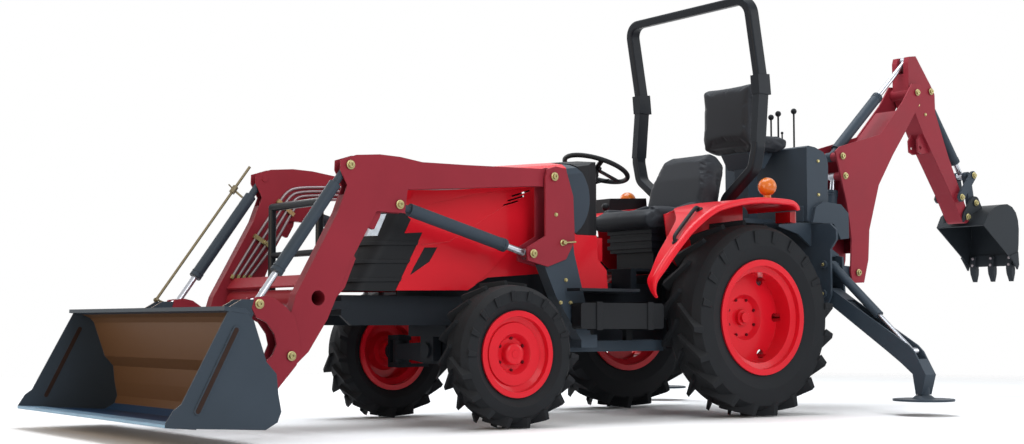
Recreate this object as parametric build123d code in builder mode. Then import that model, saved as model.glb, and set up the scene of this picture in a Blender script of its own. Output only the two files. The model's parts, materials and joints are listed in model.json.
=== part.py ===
from build123d import *
import os
from math import atan2, cos, degrees, hypot, radians, sin, sqrt

# Compact tractor with front loader and rear backhoe. X points forward, Y to the
# left, Z up, in millimetres. The origin is on the ground under the middle.

os.makedirs("parts", exist_ok=True)

# Ground layout
REAR_AXLE_X = -291.6
WHEELBASE = 1704.0
FRONT_AXLE_X = REAR_AXLE_X + WHEELBASE
REAR_TRACK = 1170.0
FRONT_TRACK = 1180.0

# Tyres and rims
REAR_TYRE_RADIUS = 564.5
REAR_TYRE_WIDTH = 290.0
REAR_RIM_RADIUS = 328.0
REAR_RIM_SEAT = 305.0
REAR_RIM_HALF = 124.0
REAR_DISC_Y = -62.0
REAR_LUGS = 20
FRONT_TYRE_RADIUS = 375.0
FRONT_TYRE_WIDTH = 200.0
FRONT_RIM_RADIUS = 220.0
FRONT_RIM_SEAT = 203.0
FRONT_RIM_HALF = 76.0
FRONT_DISC_Y = 8.0
FRONT_LUGS = 18
LUG_HEIGHT_REAR = 32.0
LUG_HEIGHT_FRONT = 24.0
RUN_GAP = 0.3
SIDE_GAP = 1.0

# Front axle
KINGPIN_Y = 440.0
KINGPIN_RADIUS = 24.0

# Hood and cowl
HOOD_HALF = 315.0
HOOD_WALL = 6.0
HOOD_HINGE_X = REAR_AXLE_X + 1175.0
HOOD_HINGE_Z = 1215.0
HOOD_HINGE_RADIUS = 12.0
HINGE_BOSS = 20.0
HINGE_EAR_OUT = HOOD_HALF - HOOD_WALL - HINGE_BOSS - 1.0
HINGE_EAR_IN = HINGE_EAR_OUT - 20.0

# Loader
ARM_Y = 446.0
ARM_WIDTH = 60.0
MAST_PLATE = 12.0
MAST_GAP = 8.0
MAST_IN = ARM_Y - ARM_WIDTH / 2 - MAST_GAP
MAST_OUT = ARM_Y + ARM_WIDTH / 2 + MAST_GAP
LIFT_PIVOT = (REAR_AXLE_X + 1344.0, 1306.0)
LIFT_CYL_ARM = (REAR_AXLE_X + 2294.0, 1115.0)
LIFT_CYL_MAST = (REAR_AXLE_X + 1484.0, 894.0)
KNEE_PIN = (REAR_AXLE_X + 2576.0, 1295.0)
TIP_PIN = (REAR_AXLE_X + 2895.0, 378.0)
TILT_ROD_PIN = (REAR_AXLE_X + 3061.0, 619.0)
LOADER_PIN_RADIUS = 16.0
LIFT_BARREL_RADIUS = 33.0
LIFT_ROD_RADIUS = 18.0
LIFT_BARREL_LENGTH = 690.0
TILT_BARREL_RADIUS = 30.0
TILT_ROD_RADIUS = 16.0
TILT_BARREL_LENGTH = 650.0
BUCKET_HALF = 915.0
BUCKET_WALL = 8.0
HITCH_PLATE = 12.0

# Roll-over frame
ROPS_X = REAR_AXLE_X - 150.0
ROPS_HALF = 530.0
ROPS_TOP = 2440.0
ROPS_DEPTH = 80.0
ROPS_WIDTH = 50.0
ROPS_FOOT = 515.0
AXLE_TUBE_RADIUS = 78.0

# Backhoe
SWING_X = REAR_AXLE_X - 1225.0
BOOM_FOOT = (REAR_AXLE_X - 1500.0, 865.0)
BOOM_TIP = (REAR_AXLE_X - 2130.0, 2118.0)
BOOM_CYL_BASE = (REAR_AXLE_X - 1332.0, 962.0)
BOOM_CYL_ROD = (REAR_AXLE_X - 1392.0, 1500.0)
CROWD_BASE = (REAR_AXLE_X - 1363.0, 1628.0)
CROWD_ROD = (REAR_AXLE_X - 2140.0, 2347.0)
CURL_BASE = (REAR_AXLE_X - 2321.0, 2146.0)
IDLER_PIN = (REAR_AXLE_X - 2600.0, 1418.0)
CURL_PIN = (REAR_AXLE_X - 2738.0, 1579.0)
SCOOP_LINK_PIN = (REAR_AXLE_X - 2776.0, 1386.0)
SCOOP_PIN = (REAR_AXLE_X - 2684.0, 1283.0)
BOOM_HALF = 105.0
BOOM_PLATE = 12.0
DIPPER_HALF = 70.0
DIPPER_WALL = 10.0
HOE_PIN_RADIUS = 18.0
HOE_BARREL_RADIUS = 35.0
HOE_ROD_RADIUS = 18.0
SCOOP_HALF = 205.0
SCOOP_WALL = 8.0

# Stabilizers
STAB_X = REAR_AXLE_X - 862.0
STAB_PIVOT = (446.0, 712.0)
STAB_CYL_TOP = (452.0, 890.0)
STAB_ROD_PIN = (1064.0, 366.0)
STAB_PAD = (1132.0, 84.0)
STAB_PAD_RADIUS = 175.0
STAB_BARREL_LENGTH = 480.0
STAB_PIN_RADIUS = 14.0


def fx(x):
    """Turn a distance ahead of the rear axle into a model X."""
    return REAR_AXLE_X + x


def slab(points, y_from, y_to, rounding=0.0, mode=Mode.ADD):
    """Extrude a closed outline of (x, z) points from one Y station to another."""
    with BuildSketch(Plane.XZ.offset(-y_to)) as outline:
        with BuildLine():
            Polyline(*points, close=True)
        make_face()
        if rounding:
            fillet(outline.vertices(), rounding)
    extrude(to_extrude=outline.sketch, amount=y_to - y_from, dir=(0, -1, 0), mode=mode)


def cross_slab(points, x_from, x_to, rounding=0.0, mode=Mode.ADD):
    """Extrude a closed outline of (y, z) points from one X station to another."""
    with BuildSketch(Plane.YZ.offset(x_from)) as outline:
        with BuildLine():
            Polyline(*points, close=True)
        make_face()
        if rounding:
            fillet(outline.vertices(), rounding)
    extrude(to_extrude=outline.sketch, amount=x_to - x_from, dir=(1, 0, 0), mode=mode)


def strip(points, y_from, y_to, thickness, radius):
    """Extrude a bent sheet that follows an open line of (x, z) points."""
    with BuildSketch(Plane.XZ.offset(-y_to)) as sheet:
        with BuildLine() as line:
            if radius:
                FilletPolyline(*points, radius=radius)
            else:
                Polyline(*points)
        trace(lines=line.line, line_width=thickness)
    extrude(to_extrude=sheet.sketch, amount=y_to - y_from, dir=(0, -1, 0))


def box(x_from, x_to, y_from, y_to, z_from, z_to, mode=Mode.ADD):
    """A block between pairs of stations."""
    with Locations(((x_from + x_to) / 2, (y_from + y_to) / 2, (z_from + z_to) / 2)):
        Box(x_to - x_from, y_to - y_from, z_to - z_from, mode=mode)


def pin(place, y_from, y_to, radius, mode=Mode.ADD):
    """A round pin, boss or bore along Y at an (x, z) place."""
    with Locations((place[0], (y_from + y_to) / 2, place[1])):
        Cylinder(radius, y_to - y_from, rotation=(90, 0, 0), mode=mode)


def rod(start, end, radius, mode=Mode.ADD):
    """A round bar between two points in space."""
    along = Vector(*end) - Vector(*start)
    with BuildSketch(Plane(origin=start, z_dir=along.normalized())) as disc:
        Circle(radius)
    extrude(to_extrude=disc.sketch, amount=along.length, mode=mode)


def toward(start, end, distance):
    """The point on the way from start to end at a distance from start."""
    length = hypot(end[0] - start[0], end[1] - start[1])
    return (
        start[0] + (end[0] - start[0]) * distance / length,
        start[1] + (end[1] - start[1]) * distance / length,
    )


def link(start, end, radius, y_from, y_to):
    """A flat link with round ends between two pins."""
    span = hypot(end[0] - start[0], end[1] - start[1])
    lean = degrees(atan2(end[1] - start[1], end[0] - start[0]))
    middle = ((start[0] + end[0]) / 2, (start[1] + end[1]) / 2, 0)
    with BuildSketch(Plane.XZ.offset(-y_to)) as plate:
        with Locations(Location(middle, (0, 0, lean))):
            SlotCenterToCenter(span, 2 * radius)
    extrude(to_extrude=plate.sketch, amount=y_to - y_from, dir=(0, -1, 0))


def barrel(base, tip, y, radius, bore, length, start, eye_radius, eye_half, pin_radius):
    """A cylinder barrel: an eye on a neck at its base and an open bore at its gland."""
    neck = toward(base, tip, start)
    mouth = toward(base, tip, length)
    floor = toward(base, tip, start + 12.0)
    past = toward(base, tip, length + 5.0)
    rod((base[0], y, base[1]), (neck[0], y, neck[1]), eye_half - 2)
    rod((neck[0], y, neck[1]), (mouth[0], y, mouth[1]), radius)
    rod((floor[0], y, floor[1]), (past[0], y, past[1]), bore, mode=Mode.SUBTRACT)
    pin(base, y - eye_half, y + eye_half, eye_radius)
    pin(base, y - eye_half - 1, y + eye_half + 1, pin_radius, mode=Mode.SUBTRACT)


def piston(base, tip, y, radius, inside, eye_radius, eye_half):
    """A rod that ends in an eye, with its other end inside the barrel."""
    tail = toward(base, tip, inside)
    head = toward(tip, base, eye_radius * 0.8)
    rod((tail[0], y, tail[1]), (head[0], y, head[1]), radius)
    pin(tip, y - eye_half, y + eye_half, eye_radius)


def keep(part, name):
    """Label a finished sub-part and write its STEP file."""
    part.label = name
    export_step(part, f"parts/{name}.step")


# Tyres: a revolved carcass with bars that lean from the shoulder to the middle
# columns: name, radius, width, rim seat, rim half width, lug height, lug count, centre x, track
TYRES = (
    ("rear", REAR_TYRE_RADIUS, REAR_TYRE_WIDTH, REAR_RIM_SEAT, REAR_RIM_HALF,
     LUG_HEIGHT_REAR, REAR_LUGS, REAR_AXLE_X, REAR_TRACK),
    ("front", FRONT_TYRE_RADIUS, FRONT_TYRE_WIDTH, FRONT_RIM_SEAT, FRONT_RIM_HALF,
     LUG_HEIGHT_FRONT, FRONT_LUGS, FRONT_AXLE_X, FRONT_TRACK),
)
for name, radius, width, seat, rim_half, lug, count, centre_x, track in TYRES:
    half = width / 2
    carcass = radius - lug
    reach = radius * 0.125
    lug_top = sqrt(radius**2 - (reach * 1.25) ** 2)
    lug_base = radius - lug - 0.12 * (radius - seat) - 12
    centre = (centre_x, track / 2, radius)
    with BuildPart() as tyre:
        with BuildSketch(Plane.YZ.offset(centre_x)):
            with BuildLine():
                Polyline(
                    (centre[1] - rim_half + 14, radius + seat),
                    (centre[1] - rim_half + 14, radius + seat + 20),
                    (centre[1] - half + 6, radius + (seat + carcass) / 2 - 12),
                    (centre[1] - half + 10, radius + carcass - 34),
                    (centre[1] - half * 0.62, radius + carcass - 6),
                    (centre[1], radius + carcass),
                    (centre[1] + half * 0.62, radius + carcass - 6),
                    (centre[1] + half - 10, radius + carcass - 34),
                    (centre[1] + half - 6, radius + (seat + carcass) / 2 - 12),
                    (centre[1] + rim_half - 14, radius + seat + 20),
                    (centre[1] + rim_half - 14, radius + seat),
                    close=True,
                )
            make_face()
        revolve(axis=Axis((centre_x, 0, radius), (0, 1, 0)))
        for side in (1, -1):
            shift = 0.0 if side == 1 else 0.5
            bars = []
            for index in range(count):
                angle = radians((index + shift) * 360 / count)
                bars.append(Plane(
                    origin=(centre_x + lug_base * sin(angle), centre[1], radius + lug_base * cos(angle)),
                    x_dir=(0, side, 0),
                    z_dir=(sin(angle), 0, cos(angle)),
                ))
            with BuildSketch(*bars):
                with BuildLine():
                    Polyline(
                        (2, side * (reach + lug * 0.45)),
                        (half, side * (-reach * 0.75)),
                        (half, side * (-reach * 0.75 - lug * 1.15)),
                        (2, side * (reach - lug * 0.55)),
                        close=True,
                    )
                make_face()
            extrude(amount=lug_top - lug_base, taper=3)
    keep(tyre.part, f"{name}_tyre_left")
    with BuildPart() as tyre_right:
        mirror(tyre.part, about=Plane.XZ)
    keep(tyre_right.part, f"{name}_tyre_right")

# Rims: a revolved drop-centre rim, a dished disc and a hub
# columns: name, flange r, seat r, half width, disc y, hub r, hub inner y, bolt circle, centre x, wheel r, track, lobes
RIMS = (
    ("rear", REAR_RIM_RADIUS, REAR_RIM_SEAT, REAR_RIM_HALF, REAR_DISC_Y,
     85.0, -140.0, 105.0, REAR_AXLE_X, REAR_TYRE_RADIUS, REAR_TRACK, 6),
    ("front", FRONT_RIM_RADIUS, FRONT_RIM_SEAT, FRONT_RIM_HALF, FRONT_DISC_Y,
     58.0, -60.0, 76.0, FRONT_AXLE_X, FRONT_TYRE_RADIUS, FRONT_TRACK, 0),
)
for name, flange, seat, half, disc, hub, hub_in, bolts, centre_x, wheel, track, lobes in RIMS:
    yc = track / 2
    with BuildPart() as rim:
        with BuildSketch(Plane.YZ.offset(centre_x)):
            with BuildLine():
                Polyline(
                    (yc - half, wheel + flange),
                    (yc - half, wheel + seat - 12),
                    (yc - half + 30, wheel + seat - 12),
                    (yc - half + 43, wheel + seat - 46),
                    (yc + half - 43, wheel + seat - 46),
                    (yc + half - 30, wheel + seat - 12),
                    (yc + half, wheel + seat - 12),
                    (yc + half, wheel + flange),
                    (yc + half - 12, wheel + flange),
                    (yc + half - 13, wheel + seat),
                    (yc + half - 36, wheel + seat - RUN_GAP),
                    (yc + half - 50, wheel + seat - 36),
                    (yc - half + 50, wheel + seat - 36),
                    (yc - half + 36, wheel + seat - RUN_GAP),
                    (yc - half + 13, wheel + seat),
                    (yc - half + 12, wheel + flange),
                    close=True,
                )
            make_face()
        revolve(axis=Axis((centre_x, 0, wheel), (0, 1, 0)))
        with BuildSketch(Plane.YZ.offset(centre_x)):
            with BuildLine():
                Polyline(
                    (yc + disc - 10, wheel),
                    (yc + disc - 10, wheel + hub + 30),
                    (yc + disc + 22, wheel + hub + 52),
                    (yc + disc + 22, wheel + seat - 44),
                    (yc + disc + 34, wheel + seat - 44),
                    (yc + disc + 34, wheel + hub + 46),
                    (yc + disc + 2, wheel + hub + 24),
                    (yc + disc + 2, wheel),
                    close=True,
                )
            make_face()
        revolve(axis=Axis((centre_x, 0, wheel), (0, 1, 0)))
        pin((centre_x, wheel), yc + hub_in, yc + disc, hub)
        pin((centre_x, wheel), yc + disc, yc + disc + 26, hub * 0.55)
        pin((centre_x, wheel), yc + disc, yc + disc + 44, hub * 0.36)
        if lobes:
            slots = []
            for index in range(lobes):
                angle = radians(30 + index * 360 / lobes)
                slots.append((centre_x + (seat - 62) * sin(angle), wheel + (seat - 62) * cos(angle)))
            for slot in slots:
                pin(slot, yc + disc - 14, yc + disc + 60, 26.0, mode=Mode.SUBTRACT)
    keep(rim.part, f"{name}_rim_left")
    with BuildPart() as rim_right:
        mirror(rim.part, about=Plane.XZ)
    keep(rim_right.part, f"{name}_rim_right")

# Front axle beam and its steering knuckles
AXLE_Z = FRONT_TYRE_RADIUS
HUB_FACE_Y = FRONT_TRACK / 2 - 60.0
KINGPIN_TOP = AXLE_Z + 62.0
KINGPIN_LOW = AXLE_Z - 62.0
with BuildPart() as front_axle:
    cross_slab(
        (
            (-KINGPIN_Y + 34, AXLE_Z - 40), (-250, AXLE_Z - 46), (-110, AXLE_Z - 62),
            (110, AXLE_Z - 62), (250, AXLE_Z - 46), (KINGPIN_Y - 34, AXLE_Z - 40),
            (KINGPIN_Y - 34, AXLE_Z + 40), (160, AXLE_Z + 52), (90, AXLE_Z + 75),
            (-90, AXLE_Z + 75), (-160, AXLE_Z + 52), (-KINGPIN_Y + 34, AXLE_Z + 40),
        ),
        FRONT_AXLE_X - 52, FRONT_AXLE_X + 52,
    )
    for side in (1, -1):
        with Locations((FRONT_AXLE_X, side * KINGPIN_Y, AXLE_Z)):
            Cylinder(46, KINGPIN_TOP - KINGPIN_LOW - 2 * RUN_GAP)
        with Locations((FRONT_AXLE_X, side * KINGPIN_Y, AXLE_Z)):
            Cylinder(KINGPIN_RADIUS, KINGPIN_TOP - KINGPIN_LOW + 60)
    rod((FRONT_AXLE_X - 120, 0, AXLE_Z + 10), (FRONT_AXLE_X + 130, 0, AXLE_Z + 10), 40)
keep(front_axle.part, "front_axle")

with BuildPart() as knuckle_left:
    slab(
        (
            (FRONT_AXLE_X - 42, KINGPIN_LOW - 28), (FRONT_AXLE_X + 42, KINGPIN_LOW - 28),
            (FRONT_AXLE_X + 42, KINGPIN_TOP + 28), (FRONT_AXLE_X - 42, KINGPIN_TOP + 28),
        ),
        KINGPIN_Y - 40, KINGPIN_Y + 72,
    )
    slab(
        (
            (FRONT_AXLE_X - 60, KINGPIN_LOW), (FRONT_AXLE_X + 60, KINGPIN_LOW),
            (FRONT_AXLE_X + 60, KINGPIN_TOP), (FRONT_AXLE_X - 60, KINGPIN_TOP),
        ),
        KINGPIN_Y - 60, KINGPIN_Y + 56, mode=Mode.SUBTRACT,
    )
    with Locations((FRONT_AXLE_X, KINGPIN_Y, AXLE_Z)):
        Cylinder(KINGPIN_RADIUS + RUN_GAP, KINGPIN_TOP - KINGPIN_LOW + 80, mode=Mode.SUBTRACT)
    pin((FRONT_AXLE_X, AXLE_Z), KINGPIN_Y + 60, HUB_FACE_Y - RUN_GAP, 50)
    box(
        FRONT_AXLE_X - 175, FRONT_AXLE_X - 38, KINGPIN_Y - 14, KINGPIN_Y + 14,
        KINGPIN_LOW - 28, KINGPIN_LOW - 8,
    )
keep(knuckle_left.part, "knuckle_left")
with BuildPart() as knuckle_right:
    mirror(knuckle_left.part, about=Plane.XZ)
keep(knuckle_right.part, "knuckle_right")

# Front frame: rails under the engine, a bolster plate and the axle pivot bosses
RAIL_Y = 176.0
RAIL_WALL = 24.0
FRAME_FRONT_X = fx(2462.0)
FRAME_REAR_X = fx(1180.0)
FRAME_LOW = 520.0
FRAME_TOP = 672.0
with BuildPart() as front_frame:
    for side in (1, -1):
        low_y = min(side * RAIL_Y, side * (RAIL_Y + RAIL_WALL))
        slab(
            (
                (FRAME_REAR_X, FRAME_LOW + 30), (FRONT_AXLE_X - 90, FRAME_LOW), (FRAME_FRONT_X - 60, FRAME_LOW),
                (FRAME_FRONT_X, FRAME_LOW + 50), (FRAME_FRONT_X, FRAME_TOP), (FRAME_REAR_X, FRAME_TOP),
            ),
            low_y, low_y + RAIL_WALL,
        )
    box(FRAME_FRONT_X - 26, FRAME_FRONT_X, -RAIL_Y - RAIL_WALL, RAIL_Y + RAIL_WALL, FRAME_LOW + 50, FRAME_TOP)
    box(FRONT_AXLE_X + 230, FRAME_FRONT_X - 20, -RAIL_Y - 10, RAIL_Y + 10, FRAME_TOP - 26, FRAME_TOP)
    for x_from in (FRONT_AXLE_X - 116, FRONT_AXLE_X + 66):
        box(x_from, x_from + 50, -RAIL_Y - 6, RAIL_Y + 6, AXLE_Z + 85, FRAME_LOW + 40)
        box(x_from, x_from + 50, -62, 62, AXLE_Z - 42, AXLE_Z + 90)
        rod((x_from - 1, 0, AXLE_Z + 10), (x_from + 51, 0, AXLE_Z + 10), 40 + RUN_GAP, mode=Mode.SUBTRACT)
keep(front_frame.part, "front_frame")

# Driveline: engine block, clutch housing, gearbox, rear axle housing
DRIVE_REAR_X = fx(-250.0)
AXLE_END_Y = REAR_TRACK / 2 + RIMS[0][6] - RUN_GAP
with BuildPart() as driveline:
    box(fx(1250.0), fx(1900.0), -RAIL_Y + 6, RAIL_Y - 6, 560, 1060)
    box(FRAME_REAR_X - 200, fx(1255.0), -150, 150, 480, 880)
    box(fx(250.0), FRAME_REAR_X - 190, -130, 130, 400, 760)
    box(DRIVE_REAR_X, fx(255.0), -165, 165, 380, 820)
    rod((REAR_AXLE_X, -AXLE_END_Y, REAR_TYRE_RADIUS), (REAR_AXLE_X, AXLE_END_Y, REAR_TYRE_RADIUS), AXLE_TUBE_RADIUS)
    for side in (1, -1):
        rod((REAR_AXLE_X, side * 150, REAR_TYRE_RADIUS), (REAR_AXLE_X, side * 225, REAR_TYRE_RADIUS), 125)
keep(driveline.part, "driveline")

# Hood: a crowned shell on a leaning nose, with black grilles, two lamps and a grey rear collar
# columns: x, height of the crown
HOOD_CROWN = (
    (560.0, 1466.0), (905.0, 1456.0), (1106.0, 1432.0), (1560.0, 1380.0), (2000.0, 1300.0), (2172.0, 1250.0),
    (2560.0, 1120.0),
)
NOSE_LEAN = 0.574
HOOD_FLOOR = 560.0


def hood_form(inset):
    """The hood's closed form, drawn in all round by an inset: crowned, tapered and round at the nose."""
    with BuildPart() as form:
        for x, crown in HOOD_CROWN:
            half_section = (
                (HOOD_HALF - inset, crown - 82 - inset * 0.4), (HOOD_HALF - 15 - inset * 0.85, crown - 48 - inset * 0.6),
                (HOOD_HALF - 53 - inset * 0.5, crown - 26 - inset * 0.9), (150.0, crown - 8 - inset),
            )
            with BuildSketch(Plane.YZ.offset(fx(x))):
                with BuildLine():
                    Polyline(
                        (-HOOD_HALF + inset, HOOD_FLOOR), *[(-y, z) for y, z in half_section], (0, crown - inset),
                        *reversed(half_section), (HOOD_HALF - inset, HOOD_FLOOR), close=True,
                    )
                make_face()
        loft(ruled=True)
        with BuildSketch(Plane.XY.offset(HOOD_FLOOR)) as plan:
            with BuildLine():
                Polyline(
                    (fx(300.0), -377 + inset), (fx(2543.0) - 1.15 * inset, -274 + inset),
                    (fx(2543.0) - 1.15 * inset, 274 - inset), (fx(300.0), 377 - inset), close=True,
                )
            make_face()
            fillet([v for v in plan.vertices() if v.X > fx(2000.0)], 100 - inset)
        extrude(
            to_extrude=plan.sketch, amount=1200,
            dir=(-NOSE_LEAN / hypot(1, NOSE_LEAN), 0, 1 / hypot(1, NOSE_LEAN)), mode=Mode.INTERSECT,
        )
    return form.part


HOOD_FORM = {inset: hood_form(inset) for inset in (-5.0, 0.0, 2.0, 3.0, 6.0, 6.3, 12.0, 14.0, 20.0)}


def skin(points, outer, inner, y_from=-340.0, y_to=340.0):
    """The layer of the hood's form between two insets, inside an outline of (x, z) points."""
    with BuildPart() as layer:
        slab([(fx(x), z) for x, z in points], y_from, y_to)
        add(HOOD_FORM[outer], mode=Mode.INTERSECT)
        add(HOOD_FORM[inner], mode=Mode.SUBTRACT)
    return layer.part


HOOD_SIDE = (
    (1106.0, 1500.0), (1106.0, 1392.0), (1140.0, 1100.0), (1225.0, 806.0), (1284.0, 798.0), (1633.0, 771.0),
    (1700.0, 740.0), (1766.0, 702.0), (2600.0, 690.0), (2600.0, 1500.0),
)
HOOD_MASK = (
    (2151.0, 1101.0), (2102.0, 1059.0), (2140.0, 988.0), (2034.0, 996.0), (2198.0, 690.0), (2210.0, 640.0),
    (2700.0, 640.0), (2700.0, 1101.0),
)
HOOD_SLASH = ((2024.0, 919.0), (1946.0, 921.0), (1995.0, 846.0), (2111.0, 774.0), (2087.0, 819.0))
HOOD_LAMP = ((2222.0, 1086.0), (2700.0, 1086.0), (2700.0, 972.0), (2280.0, 972.0))
HOOD_ARCH = (
    (1180.0, 760.0), (1740.0, 700.0), (1715.0, 735.0), (1623.0, 806.0), (1519.0, 900.0), (1470.0, 925.0), (1190.0, 935.0),
)
HOOD_ARCH_RIM = (
    (1172.0, 752.0), (1744.0, 691.0), (1722.0, 740.0), (1628.0, 813.0), (1523.0, 908.0), (1472.0, 934.0), (1182.0, 944.0),
)
HOOD_CREASE = ((2125.0, 1005.0), (2092.0, 1120.0), (1736.0, 1206.0), (1345.0, 1262.0), (1877.0, 952.0), (2044.0, 930.0))
# columns: rear x, rear z, front x, front z, height
HOOD_VENTS = (
    (1362.0, 1240.0, 1478.0, 1204.0, 9.0), (1400.0, 1210.0, 1506.0, 1178.0, 8.0), (1440.0, 1181.0, 1534.0, 1153.0, 8.0),
)
with BuildPart() as hood:
    add(skin(HOOD_SIDE, 0.0, 6.0))
    add(skin(HOOD_ARCH, 0.0, 14.0), mode=Mode.SUBTRACT)
    add(skin(HOOD_CREASE, 0.0, 3.0), mode=Mode.SUBTRACT)
    slab([(fx(x), z) for x, z in HOOD_MASK], -340.0, 340.0, mode=Mode.SUBTRACT)
    slab([(fx(x), z) for x, z in HOOD_SLASH], -340.0, 340.0, mode=Mode.SUBTRACT)
    for rear_x, rear_z, front_x, front_z, height in HOOD_VENTS:
        for side in (1, -1):
            slab(
                ((fx(rear_x), rear_z), (fx(front_x), front_z), (fx(front_x), front_z + height),
                 (fx(rear_x), rear_z + height)),
                min(side * 280.0, side * 330.0), max(side * 280.0, side * 330.0), mode=Mode.SUBTRACT,
            )
    with BuildPart() as backing:
        add(skin(HOOD_ARCH_RIM, 3.0, 20.0))
        add(skin(HOOD_ARCH, 0.0, 12.0), mode=Mode.SUBTRACT)
        slab([(fx(x), z) for x, z in HOOD_SIDE], -340.0, 340.0, mode=Mode.INTERSECT)
    add(backing.part)
    for side in (1, -1):
        y_low = min(side * (HOOD_HALF - HOOD_WALL - HINGE_BOSS), side * (HOOD_HALF - HOOD_WALL + 1))
        y_high = y_low + HINGE_BOSS + 1
        box(HOOD_HINGE_X - 30, HOOD_HINGE_X + 30, y_low, y_high, HOOD_HINGE_Z - 30, HOOD_HINGE_Z + 30)
    pin((HOOD_HINGE_X, HOOD_HINGE_Z), -HOOD_HALF, HOOD_HALF, HOOD_HINGE_RADIUS + RUN_GAP, mode=Mode.SUBTRACT)
    pin((HOOD_HINGE_X, HOOD_HINGE_Z), HOOD_HALF - 4, HOOD_HALF, HOOD_HINGE_RADIUS + 2)
    pin((HOOD_HINGE_X, HOOD_HINGE_Z), -HOOD_HALF, -HOOD_HALF + 4, HOOD_HINGE_RADIUS + 2)
keep(hood.part, "hood")

with BuildPart() as headlamps:
    for y_from, y_to in ((110.0, 340.0), (-340.0, -110.0)):
        add(skin(HOOD_LAMP, 0.0, 14.0, y_from, y_to))
keep(headlamps.part, "headlamps")
with BuildPart() as hood_grilles:
    add(skin(HOOD_MASK[:6] + ((2700.0, 690.0), (2700.0, 1101.0)), 2.0, 14.0))
    slab(((fx(2100.0), 600.0), (fx(2700.0), 600.0), (fx(2700.0), 692.0), (fx(2100.0), 692.0)), -340, 340,
         mode=Mode.SUBTRACT)
    for z in (745.0, 838.0, 930.0):
        add(skin(((2012.0, z), (2700.0, z - 14), (2700.0, z + 4), (2012.0, z + 18)), -5.0, 3.0))
    slab([(fx(x), z) for x, z in HOOD_MASK], -340.0, 340.0, mode=Mode.INTERSECT)
    add(headlamps.part, mode=Mode.SUBTRACT)
    add(skin(HOOD_SLASH, 2.0, 12.0))
keep(hood_grilles.part, "hood_grilles")

# The collar fills the hood's rear edge out to a circle round its hinge, so it turns without touching the dash
COLLAR_RADIUS = 230.0
DASH_RADIUS = 237.0


def hinge_arc(radius, from_degrees, to_degrees, steps):
    """Points (x, z) from the rear axle on a circle round the hood's hinge."""
    points = []
    for index in range(steps + 1):
        angle = radians(from_degrees + (to_degrees - from_degrees) * index / steps)
        points.append((1175.0 + radius * cos(angle), HOOD_HINGE_Z + radius * sin(angle)))
    return points


with BuildPart() as hood_collar:
    add(skin([(1138.0, 1026.0), (1138.0, 1500.0)] + hinge_arc(COLLAR_RADIUS, 102, 234, 14), 6.3, 12.0))
keep(hood_collar.part, "hood_collar")

# Cowl, dash, firewall and steering column
COLUMN_TOP = (fx(657.0), 1400.0)
COLUMN_LOW = (fx(745.0), 1165.0)
with BuildPart() as dash:
    slab(
        [(fx(x), z) for x, z in hinge_arc(DASH_RADIUS, 112, 236, 12)]
        + [(fx(760.0), 1018.0), (fx(690.0), 1050.0), (fx(672.0), 1220.0), (fx(700.0), 1363.0), (fx(776.0), 1452.0),
           (fx(845.0), 1470.0), (fx(1060.0), 1470.0)],
        -320.0, 320.0,
    )
    with BuildSketch(Plane.XY.offset(1000.0)) as dash_plan:
        with BuildLine():
            Polyline(
                (fx(1140.0), -302), (fx(930.0), -285), (fx(835.0), -225), (fx(748.0), -120), (fx(690.0), -56),
                (fx(690.0), 56), (fx(748.0), 120), (fx(835.0), 225), (fx(930.0), 285), (fx(1140.0), 302), close=True,
            )
        make_face()
    extrude(to_extrude=dash_plan.sketch, amount=600, mode=Mode.INTERSECT)
    add(HOOD_FORM[2.0], mode=Mode.INTERSECT)
    rod((COLUMN_TOP[0], 0, COLUMN_TOP[1]), (COLUMN_LOW[0], 0, COLUMN_LOW[1]), 26)
keep(dash.part, "dash")
COWL_HALF = 296.0
with BuildPart() as cowl:
    slab(
        (
            (fx(806.0), 716.0), (fx(815.0), 825.0), (fx(879.0), 888.0), (fx(885.0), 1018.0), (fx(1032.0), 1018.0),
            (fx(1060.0), 1040.0), (fx(1140.0), 790.0), (fx(1140.0), 716.0),
        ),
        -COWL_HALF, COWL_HALF,
    )
    box(fx(700.0), fx(890.0), -120.0, 120.0, 716.0, 1018.0)
    box(fx(600.0), fx(1141.0), -155.0, 155.0, 700.0, 884.0, mode=Mode.SUBTRACT)
    box(fx(780.0), fx(872.0), -COWL_HALF + 26, -121.0, 700.0, 1030.0, mode=Mode.SUBTRACT)
    box(fx(780.0), fx(872.0), 121.0, COWL_HALF - 26, 700.0, 1030.0, mode=Mode.SUBTRACT)
    for side in (1, -1):
        y_low = min(side * HINGE_EAR_IN, side * HINGE_EAR_OUT)
        y_high = max(side * HINGE_EAR_IN, side * HINGE_EAR_OUT)
        slab(
            ((fx(1020.0), 1010.0), (fx(1040.0), 1018.0), (HOOD_HINGE_X - 24, HOOD_HINGE_Z + 16), (HOOD_HINGE_X, HOOD_HINGE_Z + 24),
             (HOOD_HINGE_X + 26, HOOD_HINGE_Z), (fx(1128.0), 830.0), (fx(1100.0), 830.0)),
            y_low, y_high,
        )
        pin((HOOD_HINGE_X, HOOD_HINGE_Z), min(y_low, side * (HOOD_HALF - HOOD_WALL)),
            max(y_high, side * (HOOD_HALF - HOOD_WALL)), HOOD_HINGE_RADIUS)
    add(dash.part, mode=Mode.SUBTRACT)
keep(cowl.part, "cowl")

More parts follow.
